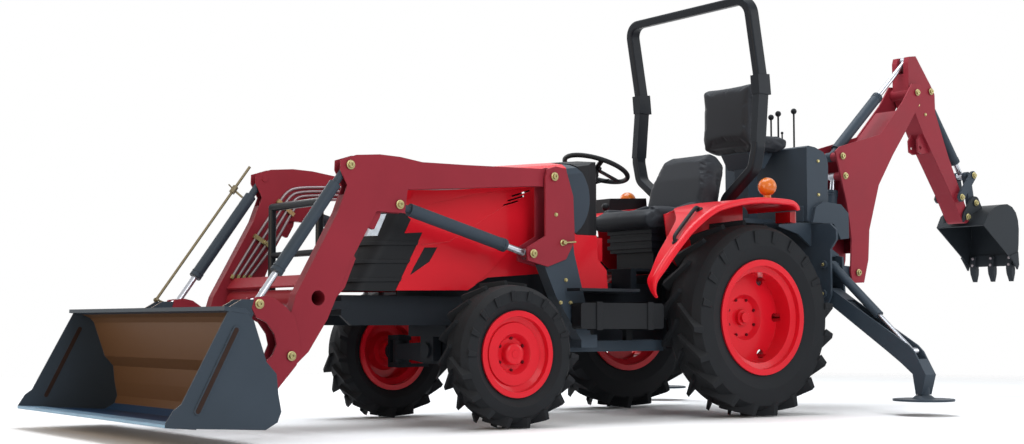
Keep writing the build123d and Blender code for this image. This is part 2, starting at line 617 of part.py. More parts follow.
# Steering wheel, on a column that leans back
WHEEL_TILT = degrees(atan2(COLUMN_LOW[0] - COLUMN_TOP[0], COLUMN_TOP[1] - COLUMN_LOW[1]))
STEER_WHEEL_RADIUS = 190.0
STEER_RIM_RADIUS = 14.0
wheel_plane = Plane(
    origin=(COLUMN_TOP[0], 0, COLUMN_TOP[1]),
    x_dir=(0, 1, 0),
    z_dir=(-sin(radians(WHEEL_TILT)), 0, cos(radians(WHEEL_TILT))),
)
with BuildPart() as steering_wheel:
    with Locations(wheel_plane.offset(34).location):
        Torus(STEER_WHEEL_RADIUS, STEER_RIM_RADIUS)
        Cylinder(32, 22)
    with BuildSketch(wheel_plane.offset(26)):
        with PolarLocations(STEER_WHEEL_RADIUS / 2, 3, start_angle=90):
            Rectangle(STEER_WHEEL_RADIUS, 26)
    extrude(amount=12)
    with BuildSketch(wheel_plane.offset(RUN_GAP)):
        Circle(22)
    extrude(amount=28)
keep(steering_wheel.part, "steering_wheel")

# Side rails of the loader subframe
RAIL_OUT = 380.0
RAIL_TOP = 436.0

# Platform floor, with the side tank on the left
FLOOR_Z = 700.0
with BuildPart() as floor_deck:
    box(fx(846.0), fx(1262.0), 301.0, 612.0, FLOOR_Z, FLOOR_Z + 16)
    box(fx(1100.0), fx(1263.0), MAST_IN - MAST_PLATE - 6, MAST_OUT + MAST_PLATE + 6, FLOOR_Z - 1, FLOOR_Z + 17,
        mode=Mode.SUBTRACT)
    box(fx(600.0), fx(850.0), 130.0, 299.7, FLOOR_Z, FLOOR_Z + 16)
    box(fx(846.0), fx(1100.0), 299.0, 302.0, FLOOR_Z, FLOOR_Z + 16)
    box(fx(600.0), fx(640.0), 130.0, 299.7, FLOOR_Z, 840.0)
    mirror(about=Plane.XZ)
    box(fx(180.0), fx(639.0), -299.0, 299.0, 826.0, 842.0)
keep(floor_deck.part, "floor_deck")
with BuildPart() as side_tank:
    slab(
        ((fx(640.0), 500.0), (fx(1225.0), 500.0), (fx(1225.0), 640.0), (fx(640.0), 640.0)),
        340.0, 575.0, rounding=18,
    )
    for x_from in (720.0, 1080.0):
        slab(
            ((fx(x_from), 494.0), (fx(x_from + 40.0), 494.0), (fx(x_from + 40.0), 646.0), (fx(x_from), 646.0)),
            336.0, 581.0,
        )
    box(fx(1060.0), fx(1226.0), 330.0, MAST_OUT + MAST_PLATE, 490.0, 650.0, mode=Mode.SUBTRACT)
    for x_from in (700.0, 980.0):
        box(fx(x_from), fx(x_from + 44.0), 345.0, RAIL_OUT, RAIL_TOP, 502.0)
keep(side_tank.part, "side_tank")

# Fenders: a curved skin over each rear wheel, a lip and an inner wall
FENDER_IN = 300.0
FENDER_OUT = 722.0
FENDER_WALL = 8.0
FENDER_LIP = 20.0
FENDER_LINE = (
    (fx(815.0), 668.0), (fx(835.0), 745.0), (fx(708.0), 905.0), (fx(560.0), 1050.0),
    (fx(385.0), 1165.0), (fx(150.0), 1226.0), (fx(-100.0), 1242.0), (fx(-262.0), 1232.0), (fx(-296.0), 1192.0),
)
with BuildPart() as fenders:
    strip(FENDER_LINE, FENDER_IN, FENDER_OUT, FENDER_WALL, 12)
    strip(FENDER_LINE, FENDER_OUT - 34, FENDER_OUT, FENDER_LIP, 12)
    slab(
        (
            (fx(700.0), 900.0), (fx(560.0), 1048.0), (fx(385.0), 1163.0), (fx(150.0), 1226.0), (fx(-240.0), 1243.0),
            (fx(-240.0), 1040.0), (fx(0.0), 850.0), (fx(500.0), 850.0), (fx(655.0), 850.0),
        ),
        FENDER_IN, FENDER_IN + FENDER_WALL,
    )
    mirror(about=Plane.XZ)
keep(fenders.part, "fenders")

# Fender lamps, handles and the console box
with BuildPart() as fender_lamps:
    for side in (1, -1):
        with Locations((fx(-130.0), side * 620.0, 1322.0)):
            Sphere(54)
        with Locations((fx(-130.0), side * 620.0, 1268.0)):
            Cylinder(22, 44.4)
keep(fender_lamps.part, "fender_lamps")

# Driver's seat: a crowned back with side bolsters on a cushion, over a ribbed suspension cover
SEAT_HALF = 250.0
SEAT_LOW = 1086.0
SEAT_BACK = (
    (fx(60.0), 1100.0), (fx(42.0), 1240.0), (fx(0.0), 1400.0), (fx(-52.0), 1530.0), (fx(-110.0), 1562.0),
    (fx(-160.0), 1548.0), (fx(-188.0), 1490.0), (fx(-150.0), 1330.0), (fx(-112.0), 1150.0), (fx(-60.0), 1092.0),
)
with BuildPart() as seat:
    slab(SEAT_BACK, -SEAT_HALF, SEAT_HALF, rounding=16)
    with BuildSketch(Plane.YZ.offset(fx(-300.0))) as seat_front:
        with BuildLine():
            Polyline(
                (-SEAT_HALF, 1050), (-SEAT_HALF, 1340), (-SEAT_HALF + 36, 1480), (-SEAT_HALF + 96, 1590),
                (SEAT_HALF - 96, 1590), (SEAT_HALF - 36, 1480), (SEAT_HALF, 1340), (SEAT_HALF, 1050), close=True,
            )
        make_face()
    extrude(to_extrude=seat_front.sketch, amount=500, mode=Mode.INTERSECT)
    slab(
        (
            (fx(30.0), SEAT_LOW), (fx(452.0), SEAT_LOW), (fx(486.0), 1112.0), (fx(482.0), 1158.0), (fx(430.0), 1186.0),
            (fx(200.0), 1172.0), (fx(20.0), 1158.0),
        ),
        -SEAT_HALF, SEAT_HALF, rounding=12,
    )
    for side in (1, -1):
        y_low = min(side * (SEAT_HALF - 62), side * SEAT_HALF)
        slab(
            ((fx(20.0), 1140.0), (fx(420.0), 1150.0), (fx(400.0), 1208.0), (fx(200.0), 1212.0), (fx(60.0), 1250.0)),
            y_low, y_low + 62, rounding=14,
        )
        y_low = min(side * 226.0, side * 300.0)
        box(fx(-220.0), fx(-98.0), y_low, y_low + 74, 1040.0, 1440.0, mode=Mode.SUBTRACT)
keep(seat.part, "seat")
with BuildPart() as seat_base:
    box(fx(-70.0), fx(350.0), -165.0, 165.0, 842.3, 948.0)
    for index in range(6):
        grow = 12.0 * (index % 2)
        box(fx(-86.0 - grow), fx(382.0 + grow), -188.0 - grow, 188.0 + grow, 947.0 + 22.0 * index, 970.0 + 22.0 * index)
    box(fx(-60.0), fx(420.0), -205.0, 205.0, 1079.0, SEAT_LOW - RUN_GAP)
keep(seat_base.part, "seat_base")

# Roll-over frame: two bent posts and a hoop that leans forward above a joint in each post
ROPS_JOINT = (fx(-182.0), 1940.0)
ROPS_CROWN_X = fx(-92.0)
hoop_rise = hypot(ROPS_CROWN_X - ROPS_JOINT[0], ROPS_TOP - ROPS_JOINT[1])
hoop_up = ((ROPS_CROWN_X - ROPS_JOINT[0]) / hoop_rise, 0, (ROPS_TOP - ROPS_JOINT[1]) / hoop_rise)
hoop_plane = Plane(
    origin=(ROPS_JOINT[0], 0, ROPS_JOINT[1]), x_dir=(0, 1, 0), z_dir=(hoop_up[2], 0, -hoop_up[0]),
)
with BuildPart() as rops:
    with BuildLine(hoop_plane) as hoop:
        FilletPolyline(
            (ROPS_HALF, -10.0), (ROPS_HALF, hoop_rise), (-ROPS_HALF, hoop_rise), (-ROPS_HALF, -10.0), radius=88,
        )
    with BuildSketch(Plane(origin=hoop.line @ 0, x_dir=hoop_plane.z_dir, z_dir=hoop_up)):
        RectangleRounded(ROPS_DEPTH, ROPS_WIDTH, 12)
    sweep(path=hoop.line)
    for side in (1, -1):
        with BuildLine() as post:
            FilletPolyline(
                (ROPS_X, side * 262.0, ROPS_FOOT), (ROPS_X, side * 262.0, 1268.0),
                (ROPS_X, side * (ROPS_HALF - 30), 1440.0), (ROPS_X, side * ROPS_HALF, 1560.0),
                (ROPS_X, side * ROPS_HALF, 1600.0), radius=80,
            )
        with BuildSketch(Plane(origin=(ROPS_X, side * 262.0, ROPS_FOOT), x_dir=(1, 0, 0), z_dir=(0, 0, 1))):
            RectangleRounded(ROPS_DEPTH, ROPS_WIDTH, 12)
        sweep(path=post.line)
        y_low = side * ROPS_HALF - ROPS_WIDTH / 2
        slab(
            (
                (ROPS_X - ROPS_DEPTH / 2, 1590.0), (ROPS_X + ROPS_DEPTH / 2, 1590.0),
                (ROPS_JOINT[0] + ROPS_DEPTH / 2, ROPS_JOINT[1] + 4), (ROPS_JOINT[0] - ROPS_DEPTH / 2, ROPS_JOINT[1] + 4),
            ),
            y_low, y_low + ROPS_WIDTH,
        )
        slab(
            (
                (ROPS_JOINT[0] - 50, ROPS_JOINT[1] - 62), (ROPS_JOINT[0] + 48, ROPS_JOINT[1] - 62),
                (ROPS_JOINT[0] + 58, ROPS_JOINT[1] + 50), (ROPS_JOINT[0] - 38, ROPS_JOINT[1] + 60),
            ),
            y_low - 7, y_low + ROPS_WIDTH + 7,
        )
        y_low = side * 262.0 - ROPS_WIDTH / 2 + 2
        box(ROPS_X + ROPS_DEPTH / 2 - 2, REAR_AXLE_X - 20, y_low, y_low + ROPS_WIDTH - 4, ROPS_FOOT, ROPS_FOOT + 110)
    rod((REAR_AXLE_X, -320, REAR_TYRE_RADIUS), (REAR_AXLE_X, 320, REAR_TYRE_RADIUS), AXLE_TUBE_RADIUS + RUN_GAP,
        mode=Mode.SUBTRACT)
keep(rops.part, "rops")

# Loader masts: two plates each side of the arm, on a grey post bolted to the rails
MAST_OUTLINE = (
    (fx(1400.0), 1300.0), (fx(1385.0), 1345.0), (fx(1330.0), 1362.0), (fx(1262.0), 1352.0), (fx(1212.0), 1207.0),
    (fx(1202.0), 968.0), (fx(1262.0), 870.0), (fx(1384.0), 828.0), (fx(1516.0), 858.0), (fx(1520.0), 925.0),
    (fx(1400.0), 990.0),
)
with BuildPart() as masts:
    slab(MAST_OUTLINE, MAST_OUT, MAST_OUT + MAST_PLATE)
    slab(MAST_OUTLINE, MAST_IN - MAST_PLATE, MAST_IN)
    slab(
        ((fx(1204.0), 980.0), (fx(1214.0), 1205.0), (fx(1230.0), 1205.0), (fx(1222.0), 980.0)),
        MAST_IN - 1, MAST_OUT + 1,
    )
    for place in (LIFT_PIVOT, LIFT_CYL_MAST):
        pin(place, MAST_OUT + MAST_PLATE - 1, MAST_OUT + MAST_PLATE + 8, LOADER_PIN_RADIUS + 8)
    pin(LIFT_PIVOT, MAST_IN - MAST_PLATE - 6, MAST_OUT + MAST_PLATE + 6, LOADER_PIN_RADIUS)
    mirror(about=Plane.XZ)
keep(masts.part, "masts")

with BuildPart() as mast_posts:
    slab(
        (
            (fx(1222.0), 975.0), (fx(1266.0), 880.0), (fx(1384.0), 840.0), (fx(1402.0), 840.0),
            (fx(1322.0), 674.0), (fx(1240.0), 560.0), (fx(1150.0), 440.0), (fx(1080.0), 440.0), (fx(1120.0), 640.0),
            (fx(1196.0), 900.0), (fx(1206.0), 975.0),
        ),
        MAST_IN + RUN_GAP, MAST_OUT - RUN_GAP,
    )
    box(fx(470.0), fx(1160.0), 300.0, RAIL_OUT, 376.0, RAIL_TOP)
    box(fx(1040.0), fx(1150.0), RAIL_Y - 28, MAST_OUT - RUN_GAP, 400.0, 470.0)
    box(fx(480.0), fx(560.0), 130.0, 310.0, 400.0, 440.0)
    mirror(about=Plane.XZ)
keep(mast_posts.part, "mast_posts")

# Grille guard: a bent tube on the bolster
with BuildPart() as grille_guard:
    for side in (1, -1):
        rod((fx(2615.0), side * 250.0, 640.0), (fx(2615.0), side * 250.0, 1130.0), 20)
    rod((fx(2615.0), -250.0, 1130.0), (fx(2615.0), 250.0, 1130.0), 20)
    rod((fx(2615.0), -250.0, 880.0), (fx(2615.0), 250.0, 880.0), 16)
    box(FRAME_FRONT_X, fx(2635.0), -270.0, 270.0, 600.0, 640.0)
    for side in (1, -1):
        with Locations((fx(2615.0), side * 250.0, 1130.0)):
            Sphere(20)
keep(grille_guard.part, "grille_guard")

# Loader arms, joined by the cross tube
ARM_IN = ARM_Y - ARM_WIDTH / 2
ARM_OUT = ARM_Y + ARM_WIDTH / 2
ARM_OUTLINE = (
    (fx(1300.0), 1272.0), (fx(1292.0), 1330.0), (fx(1394.0), 1346.0), (fx(1900.0), 1336.0), (fx(2160.0), 1334.0),
    (fx(2290.0), 1352.0), (fx(2408.0), 1357.0), (fx(2540.0), 1346.0), (fx(2628.0), 1318.0), (fx(2630.0), 1270.0),
    (fx(2590.0), 1195.0), (fx(2640.0), 1065.0), (fx(2862.0), 667.0), (fx(2940.0), 410.0), (fx(2925.0), 335.0),
    (fx(2868.0), 330.0), (fx(2794.0), 396.0), (fx(2694.0), 549.0), (fx(2565.0), 832.0), (fx(2424.0), 1077.0),
    (fx(2262.0), 1074.0), (fx(2246.0), 1192.0), (fx(1478.0), 1250.0), (fx(1344.0), 1254.0),
)
CROSS_TUBE = (fx(2745.0), 650.0)
CROSS_TUBE_RADIUS = 45.0
CROSS_TUBE_BORE = 36.0
EYE_HALF = 21.0
with BuildPart() as loader_boom:
    slab(ARM_OUTLINE, ARM_IN, ARM_OUT)
    pin(LIFT_PIVOT, ARM_IN - 1, ARM_OUT + 1, LOADER_PIN_RADIUS + RUN_GAP, mode=Mode.SUBTRACT)
    slab(
        ((fx(2200.0), 1050.0), (fx(2200.0), 1170.0), (fx(2352.0), 1170.0), (fx(2352.0), 1050.0)),
        ARM_Y - 36.0 / 2 - 6, ARM_Y + 36.0 / 2 + 6, mode=Mode.SUBTRACT,
    )
    slab(
        ((fx(2520.0), 1150.0), (fx(2520.0), 1360.0), (fx(2660.0), 1360.0), (fx(2660.0), 1150.0)),
        ARM_Y - 24, ARM_Y + 24, mode=Mode.SUBTRACT,
    )
    for place in (LIFT_CYL_ARM, KNEE_PIN):
        pin(place, ARM_IN - 4, ARM_OUT + 6, LOADER_PIN_RADIUS)
    pin(TIP_PIN, ARM_IN - 1, ARM_OUT + 1, LOADER_PIN_RADIUS + RUN_GAP, mode=Mode.SUBTRACT)
    slab(
        ((fx(2380.0), 1112.0), (fx(2392.0), 1052.0), (fx(2428.0), 986.0), (fx(2486.0), 1010.0), (fx(2440.0), 1110.0)),
        ARM_Y - 9, ARM_Y + 9, rounding=8,
    )
    slab(
        ((fx(2560.0), 872.0), (fx(2540.0), 842.0), (fx(2600.0), 700.0), (fx(2660.0), 640.0), (fx(2680.0), 660.0)),
        ARM_IN + 2, ARM_OUT - 2,
    )
    mirror(about=Plane.XZ)
    pin(CROSS_TUBE, -ARM_OUT, ARM_OUT, CROSS_TUBE_RADIUS)
    pin(CROSS_TUBE, -ARM_OUT - 1, ARM_OUT + 1, CROSS_TUBE_BORE, mode=Mode.SUBTRACT)
    slab(((fx(2742.0), 756.0), (fx(2751.0), 764.0), (fx(2790.0), 712.0), (fx(2781.0), 704.0)), -ARM_IN - 2, ARM_IN + 2)
keep(loader_boom.part, "loader_boom")

with BuildPart() as lift_barrels:
    barrel(LIFT_CYL_ARM, LIFT_CYL_MAST, ARM_Y, LIFT_BARREL_RADIUS, LIFT_ROD_RADIUS + RUN_GAP,
           LIFT_BARREL_LENGTH, 78.0, 30.0, EYE_HALF, LOADER_PIN_RADIUS + RUN_GAP)
    mirror(about=Plane.XZ)
keep(lift_barrels.part, "lift_barrels")
with BuildPart() as lift_rods:
    piston(LIFT_CYL_ARM, LIFT_CYL_MAST, ARM_Y, LIFT_ROD_RADIUS, 112.0, 30.0, EYE_HALF)
    mirror(about=Plane.XZ)
keep(lift_rods.part, "lift_rods")
with BuildPart() as tilt_barrels:
    barrel(KNEE_PIN, TILT_ROD_PIN, ARM_Y, TILT_BARREL_RADIUS, TILT_ROD_RADIUS + RUN_GAP,
           TILT_BARREL_LENGTH, 115.0, 28.0, EYE_HALF, LOADER_PIN_RADIUS + RUN_GAP)
    mirror(about=Plane.XZ)
keep(tilt_barrels.part, "tilt_barrels")
with BuildPart() as tilt_rods:
    piston(KNEE_PIN, TILT_ROD_PIN, ARM_Y, TILT_ROD_RADIUS, 252.0, 28.0, EYE_HALF)
    mirror(about=Plane.XZ)
keep(tilt_rods.part, "tilt_rods")

# Hitch: a curved plate each side of both arms, pinned at the arm's tip
HITCH_OUTLINE = (
    (fx(3030.0), 656.0), (fx(3084.0), 650.0), (fx(3100.0), 600.0), (fx(3077.0), 558.0), (fx(3023.0), 534.0),
    (fx(2982.0), 480.0), (fx(2970.0), 431.0), (fx(2991.0), 383.0), (fx(3030.0), 350.0), (fx(3080.0), 300.0),
    (fx(3066.0), 240.0), (fx(2966.0), 222.0), (fx(2866.0), 334.0), (fx(2846.0), 400.0), (fx(2852.0), 480.0),
    (fx(2878.0), 562.0), (fx(2923.0), 606.0), (fx(2984.0), 646.0),
)
HITCH_GAP = 4.0
with BuildPart() as loader_hitch:
    slab(HITCH_OUTLINE, ARM_OUT + HITCH_GAP, ARM_OUT + HITCH_GAP + HITCH_PLATE, rounding=10)
    slab(HITCH_OUTLINE, ARM_IN - HITCH_GAP - HITCH_PLATE, ARM_IN - HITCH_GAP, rounding=10)
    pin(TIP_PIN, ARM_IN - HITCH_GAP - HITCH_PLATE - 6, ARM_OUT + HITCH_GAP + HITCH_PLATE + 6, LOADER_PIN_RADIUS)
    box(fx(2985.0), fx(3065.0), ARM_IN - HITCH_GAP - 1, ARM_OUT + HITCH_GAP + 1, 245.0, 262.0)
    mirror(about=Plane.XZ)
    rod((fx(2930.0), -ARM_IN + 14, 572.0), (fx(2930.0), ARM_IN - 14, 572.0), 24)
keep(loader_hitch.part, "loader_hitch")

# Loader bucket: floor, back, top and two side plates
BUCKET_SIDE = (
    (fx(3416.0), 590.0), (fx(3371.0), 586.0), (fx(3326.0), 568.0), (fx(3300.0), 539.0), (fx(3238.0), 363.0),
    (fx(3190.0), 312.0), (fx(3180.0), 222.0), (fx(3165.0), 148.0), (fx(3183.0), 103.0), (fx(3240.0), 72.0),
    (fx(3640.0), 94.0), (fx(3698.0), 101.0), (fx(3698.0), 116.0), (fx(3664.0), 168.0), (fx(3628.0), 194.0),
)
with BuildPart() as loader_bucket:
    for side in (1, -1):
        y_low = min(side * BUCKET_HALF, side * (BUCKET_HALF - BUCKET_WALL))
        slab(BUCKET_SIDE, y_low, y_low + BUCKET_WALL)
        y_rib = min(side * (BUCKET_HALF - 1), side * (BUCKET_HALF + 5))
        link((fx(3385.0), 502.0), (fx(3556.0), 163.0), 17, y_rib, y_rib + 6)
    slab(
        ((fx(3560.0), 86.0), (fx(3700.0), 100.0), (fx(3700.0), 112.0), (fx(3560.0), 106.0)),
        -BUCKET_HALF + 1, BUCKET_HALF - 1,
    )
    slab(((fx(3318.0), 572.0), (fx(3342.0), 592.0), (fx(3440.0), 602.0), (fx(3440.0), 584.0), (fx(3344.0), 572.0)),
         -BUCKET_HALF - 2, BUCKET_HALF + 2)
    strip(
        ((fx(3700.0), 106.0), (fx(3242.0), 78.0), (fx(3186.0), 108.0), (fx(3171.0), 150.0), (fx(3187.0), 225.0),
         (fx(3197.0), 310.0), (fx(3244.0), 362.0), (fx(3306.0), 537.0), (fx(3330.0), 563.0), (fx(3374.0), 581.0),
         (fx(3412.0), 586.0)),
        -BUCKET_HALF + 1, BUCKET_HALF - 1, 10.0, 0,
    )
    for side in (1, -1):
        for y_at in (ARM_IN - HITCH_GAP - HITCH_PLATE, ARM_OUT + HITCH_GAP):
            y_low = min(side * y_at, side * (y_at + HITCH_PLATE))
            slab(
                ((fx(3087.3) + RUN_GAP, 640.0), (fx(3150.0), 640.0), (fx(3312.0), 548.0), (fx(3240.0), 366.0),
                 (fx(3192.0), 312.0), (fx(3184.0), 240.0), (fx(3066.5) + RUN_GAP, 240.0),
                 (fx(3080.6) + RUN_GAP, 300.0), (fx(3120.0), 380.0), (fx(3120.0), 500.0), (fx(3090.0), 575.0),
                 (fx(3100.3) + RUN_GAP, 600.0)),
                y_low, y_low + HITCH_PLATE,
            )
keep(loader_bucket.part, "loader_bucket")

# Backhoe main frame, tower, levers and operator's seat
FRAME_HALF = 470.0
FRAME_RAIL_IN = 165.0
HOE_FACE = (
    (-330.0, 1148.0), (-500.0, 1140.0), (-548.0, 1100.0), (-548.0, 1040.0), (-500.0, 985.0), (-500.0, 700.0),
    (-470.0, 645.0), (470.0, 645.0), (500.0, 700.0), (500.0, 985.0), (548.0, 1040.0), (548.0, 1100.0),
    (500.0, 1140.0), (330.0, 1148.0),
)
with BuildPart() as hoe_frame:
    cross_slab(HOE_FACE, STAB_X + 52, STAB_X + 68)
    cross_slab(
        (
            (-380.0, 960.0), (-486.0, 940.0), (-500.0, 700.0), (-470.0, 645.0), (470.0, 645.0), (500.0, 700.0),
            (486.0, 940.0), (380.0, 960.0),
        ),
        STAB_X - 68, STAB_X - 52,
    )
    box(STAB_X - 60, STAB_X + 60, -436.0, 436.0, 942.0, 960.0)
    box(STAB_X - 60, STAB_X + 60, -380.0, 380.0, 645.0, 661.0)
    for z in (700.0, 1140.0):
        box(SWING_X + 34, fx(-1098.0), -36.0, 36.0, z - 20, z + 20)
        box(SWING_X + 62, fx(-1098.0), -110.0, 110.0, z - 20, z + 20)
        box(fx(-1100.0), STAB_X - 52, -140.0, 140.0, z - 20, z + 20)
    box(STAB_X - 60, STAB_X + 60, -140.0, 140.0, 1120.0, 1160.0)
    for side in (1, -1):
        y_low = min(side * 124.0, side * 140.0)
        slab(
            ((STAB_X - 60, 660.0), (STAB_X - 60, 1150.0), (fx(-1096.0), 1150.0), (fx(-1096.0), 1090.0),
             (fx(-1010.0), 1040.0), (fx(-1010.0), 800.0), (fx(-1096.0), 750.0), (fx(-1096.0), 690.0)),
            y_low, y_low + 16,
        )
        y_low = min(side * 330.0, side * 346.0)
        slab(
            ((STAB_X + 60, 1000.0), (STAB_X + 60, 1148.0), (fx(-510.0), 1148.0), (fx(-510.0), 1120.0), (fx(-680.0), 1080.0)),
            y_low, y_low + 16,
        )
    box(STAB_X + 60, fx(-500.0), -346.0, 346.0, 1140.0, 1150.0)
    box(STAB_X + 60, fx(-430.0), -130.0, 130.0, 1140.0, 1160.0)
    with Locations((SWING_X, 0, 700.0)):
        Cylinder(48, 40)
    with Locations((SWING_X, 0, 1140.0)):
        Cylinder(38, 40)
    with Locations((SWING_X, 0, 920.0)):
        Cylinder(26, 520)
    for side in (1, -1):
        y_low = min(side * FRAME_RAIL_IN, side * (FRAME_RAIL_IN + 16))
        slab(
            ((STAB_X + 52, 640.0), (DRIVE_REAR_X + 120, 640.0), (DRIVE_REAR_X + 120, 800.0), (DRIVE_REAR_X - 40, 800.0),
             (STAB_X + 52, 900.0)),
            y_low, y_low + 16,
        )
        for place in (STAB_PIVOT, STAB_CYL_TOP):
            rod((STAB_X - 76, side * place[0], place[1]), (STAB_X + 76, side * place[0], place[1]), STAB_PIN_RADIUS)
            rod((STAB_X - 82, side * place[0], place[1]), (STAB_X - 64, side * place[0], place[1]), 24)
            rod((STAB_X + 64, side * place[0], place[1]), (STAB_X + 82, side * place[0], place[1]), 24)
keep(hoe_frame.part, "hoe_frame")

TOWER_HALF = 358.0
TOWER_SIDE = (
    (fx(-750.0), 1160.3), (fx(-750.0), 1622.0), (fx(-764.0), 1632.0), (fx(-824.0), 1626.0), (fx(-898.0), 1602.0),
    (fx(-936.0), 1560.0), (fx(-944.0), 1510.0), (fx(-932.0), 1290.0), (fx(-1030.0), 1276.0), (fx(-1098.0), 1222.0),
    (fx(-1098.0), 1160.3),
)
with BuildPart() as control_tower:
    slab(TOWER_SIDE, -TOWER_HALF, TOWER_HALF)
    slab(
        ((fx(-740.0), 1160.3), (fx(-744.0), 1250.0), (fx(-752.0), 1262.0), (fx(-752.0), 1160.3)),
        -TOWER_HALF + 30, TOWER_HALF - 30,
    )
    for side in (1, -1):
        y_low = min(side * TOWER_HALF, side * (TOWER_HALF + 26))
        slab(
            ((fx(-770.0), 1152.0), (fx(-800.0), 1250.0), (fx(-870.0), 1286.0), (fx(-1030.0), 1276.0),
             (fx(-1098.0), 1222.0), (fx(-1098.0), 1064.0), (fx(-1024.0), 1056.0), (fx(-960.0), 1152.0)),
            y_low, y_low + 26,
        )
        slab(
            ((fx(-960.0), 1150.0), (fx(-1098.0), 1150.0), (fx(-1098.0), 1222.0), (fx(-1030.0), 1272.0), (fx(-960.0), 1262.0)),
            min(side * 160.0, side * TOWER_HALF), max(side * 160.0, side * TOWER_HALF),
        )
keep(control_tower.part, "control_tower")
# columns: x, y, z of the foot, z of the knob, rod radius, knob radius
LEVERS = (
    (-772.0, 100.0, 1631.0, 1859.0, 6.0, 19.0), (-915.0, 100.0, 1590.0, 1887.0, 6.0, 19.0),
    (-880.0, 30.0, 1606.0, 1752.0, 5.0, 9.0), (-915.0, -100.0, 1590.0, 1870.0, 6.0, 19.0),
    (-772.0, -100.0, 1631.0, 1850.0, 6.0, 19.0), (280.0, -352.0, 1198.0, 1246.0, 7.0, 24.0),
)
with BuildPart() as levers:
    for x, y, foot, knob, rod_radius, knob_radius in LEVERS:
        rod((fx(x), y, foot), (fx(x), y, knob), rod_radius)
        with Locations((fx(x), y, knob)):
            Sphere(knob_radius)
    slab(
        ((fx(206.0), 1219.0), (fx(196.0), 1306.0), (fx(-104.0), 1322.0), (fx(-112.0), 1245.6), (fx(150.0), 1230.4)),
        -560.0, -410.0, rounding=0,
    )
    add(control_tower.part, mode=Mode.SUBTRACT)
    add(fenders.part, mode=Mode.SUBTRACT)
keep(levers.part, "levers")
with BuildPart() as hoe_seat:
    slab(
        ((fx(-404.0), 1652.0), (fx(-396.0), 1700.0), (fx(-410.0), 2000.0), (fx(-450.0), 2018.0), (fx(-482.0), 2004.0),
         (fx(-486.0), 1700.0), (fx(-478.0), 1652.0)),
        -205, 205, rounding=14,
    )
    slab(
        ((fx(-478.0), 1606.0), (fx(-412.0), 1622.0), (fx(-404.0), 1660.0), (fx(-480.0), 1682.0), (fx(-720.0), 1694.0),
         (fx(-752.0), 1684.0), (fx(-744.0), 1640.0), (fx(-700.0), 1612.0)),
        -205, 205, rounding=8,
    )
keep(hoe_seat.part, "hoe_seat")
with BuildPart() as hoe_seat_post:
    box(fx(-620.0), fx(-540.0), -60, 60, 1160.3, 1560.0)
    box(fx(-700.0), fx(-440.0), -120, 120, 1160.3, 1180.0)
    slab(
        ((fx(-620.0), 1500.0), (fx(-690.0), 1590.0), (fx(-690.0), 1605.4), (fx(-482.0), 1605.4), (fx(-482.0), 1590.0),
         (fx(-540.0), 1500.0)),
        -120, 120,
    )
keep(hoe_seat_post.part, "hoe_seat_post")

# Swing post, boom and its cylinder
POST_HALF = 84.0
with BuildPart() as swing_post:
    with Locations((SWING_X, 0, 920.0)):
        Cylinder(60, 398)
    slab(
        ((SWING_X + 10, 730.0), (BOOM_FOOT[0] - 26, 822.0), (BOOM_FOOT[0] - 42, BOOM_FOOT[1]),
         (BOOM_FOOT[0] - 20, 902.0), (SWING_X - 60, 915.0), (SWING_X, 915.0)),
        -POST_HALF, POST_HALF,
    )
    for side in (1, -1):
        y_low = min(side * 34.0, side * 60.0)
        slab(
            ((BOOM_CYL_BASE[0] - 46, 908.0), (BOOM_CYL_BASE[0] - 36, BOOM_CYL_BASE[1] + 20),
             (BOOM_CYL_BASE[0] + 10, BOOM_CYL_BASE[1] + 44), (SWING_X + 10, 1060.0), (SWING_X + 10, 908.0)),
            y_low, y_low + 26,
        )
    with Locations((SWING_X, 0, 920.0)):
        Cylinder(26 + RUN_GAP, 600, mode=Mode.SUBTRACT)
    slab(
        ((SWING_X - 70, 1010.0), (SWING_X - 38, 1052.0), (SWING_X - 38, 1130.0), (SWING_X - 70, 1130.0)),
        -43, 43, mode=Mode.SUBTRACT,
    )
    pin(BOOM_CYL_BASE, -64, 64, HOE_PIN_RADIUS)
    pin(BOOM_FOOT, -BOOM_HALF - 8, BOOM_HALF + 8, HOE_PIN_RADIUS)
keep(swing_post.part, "swing_post")

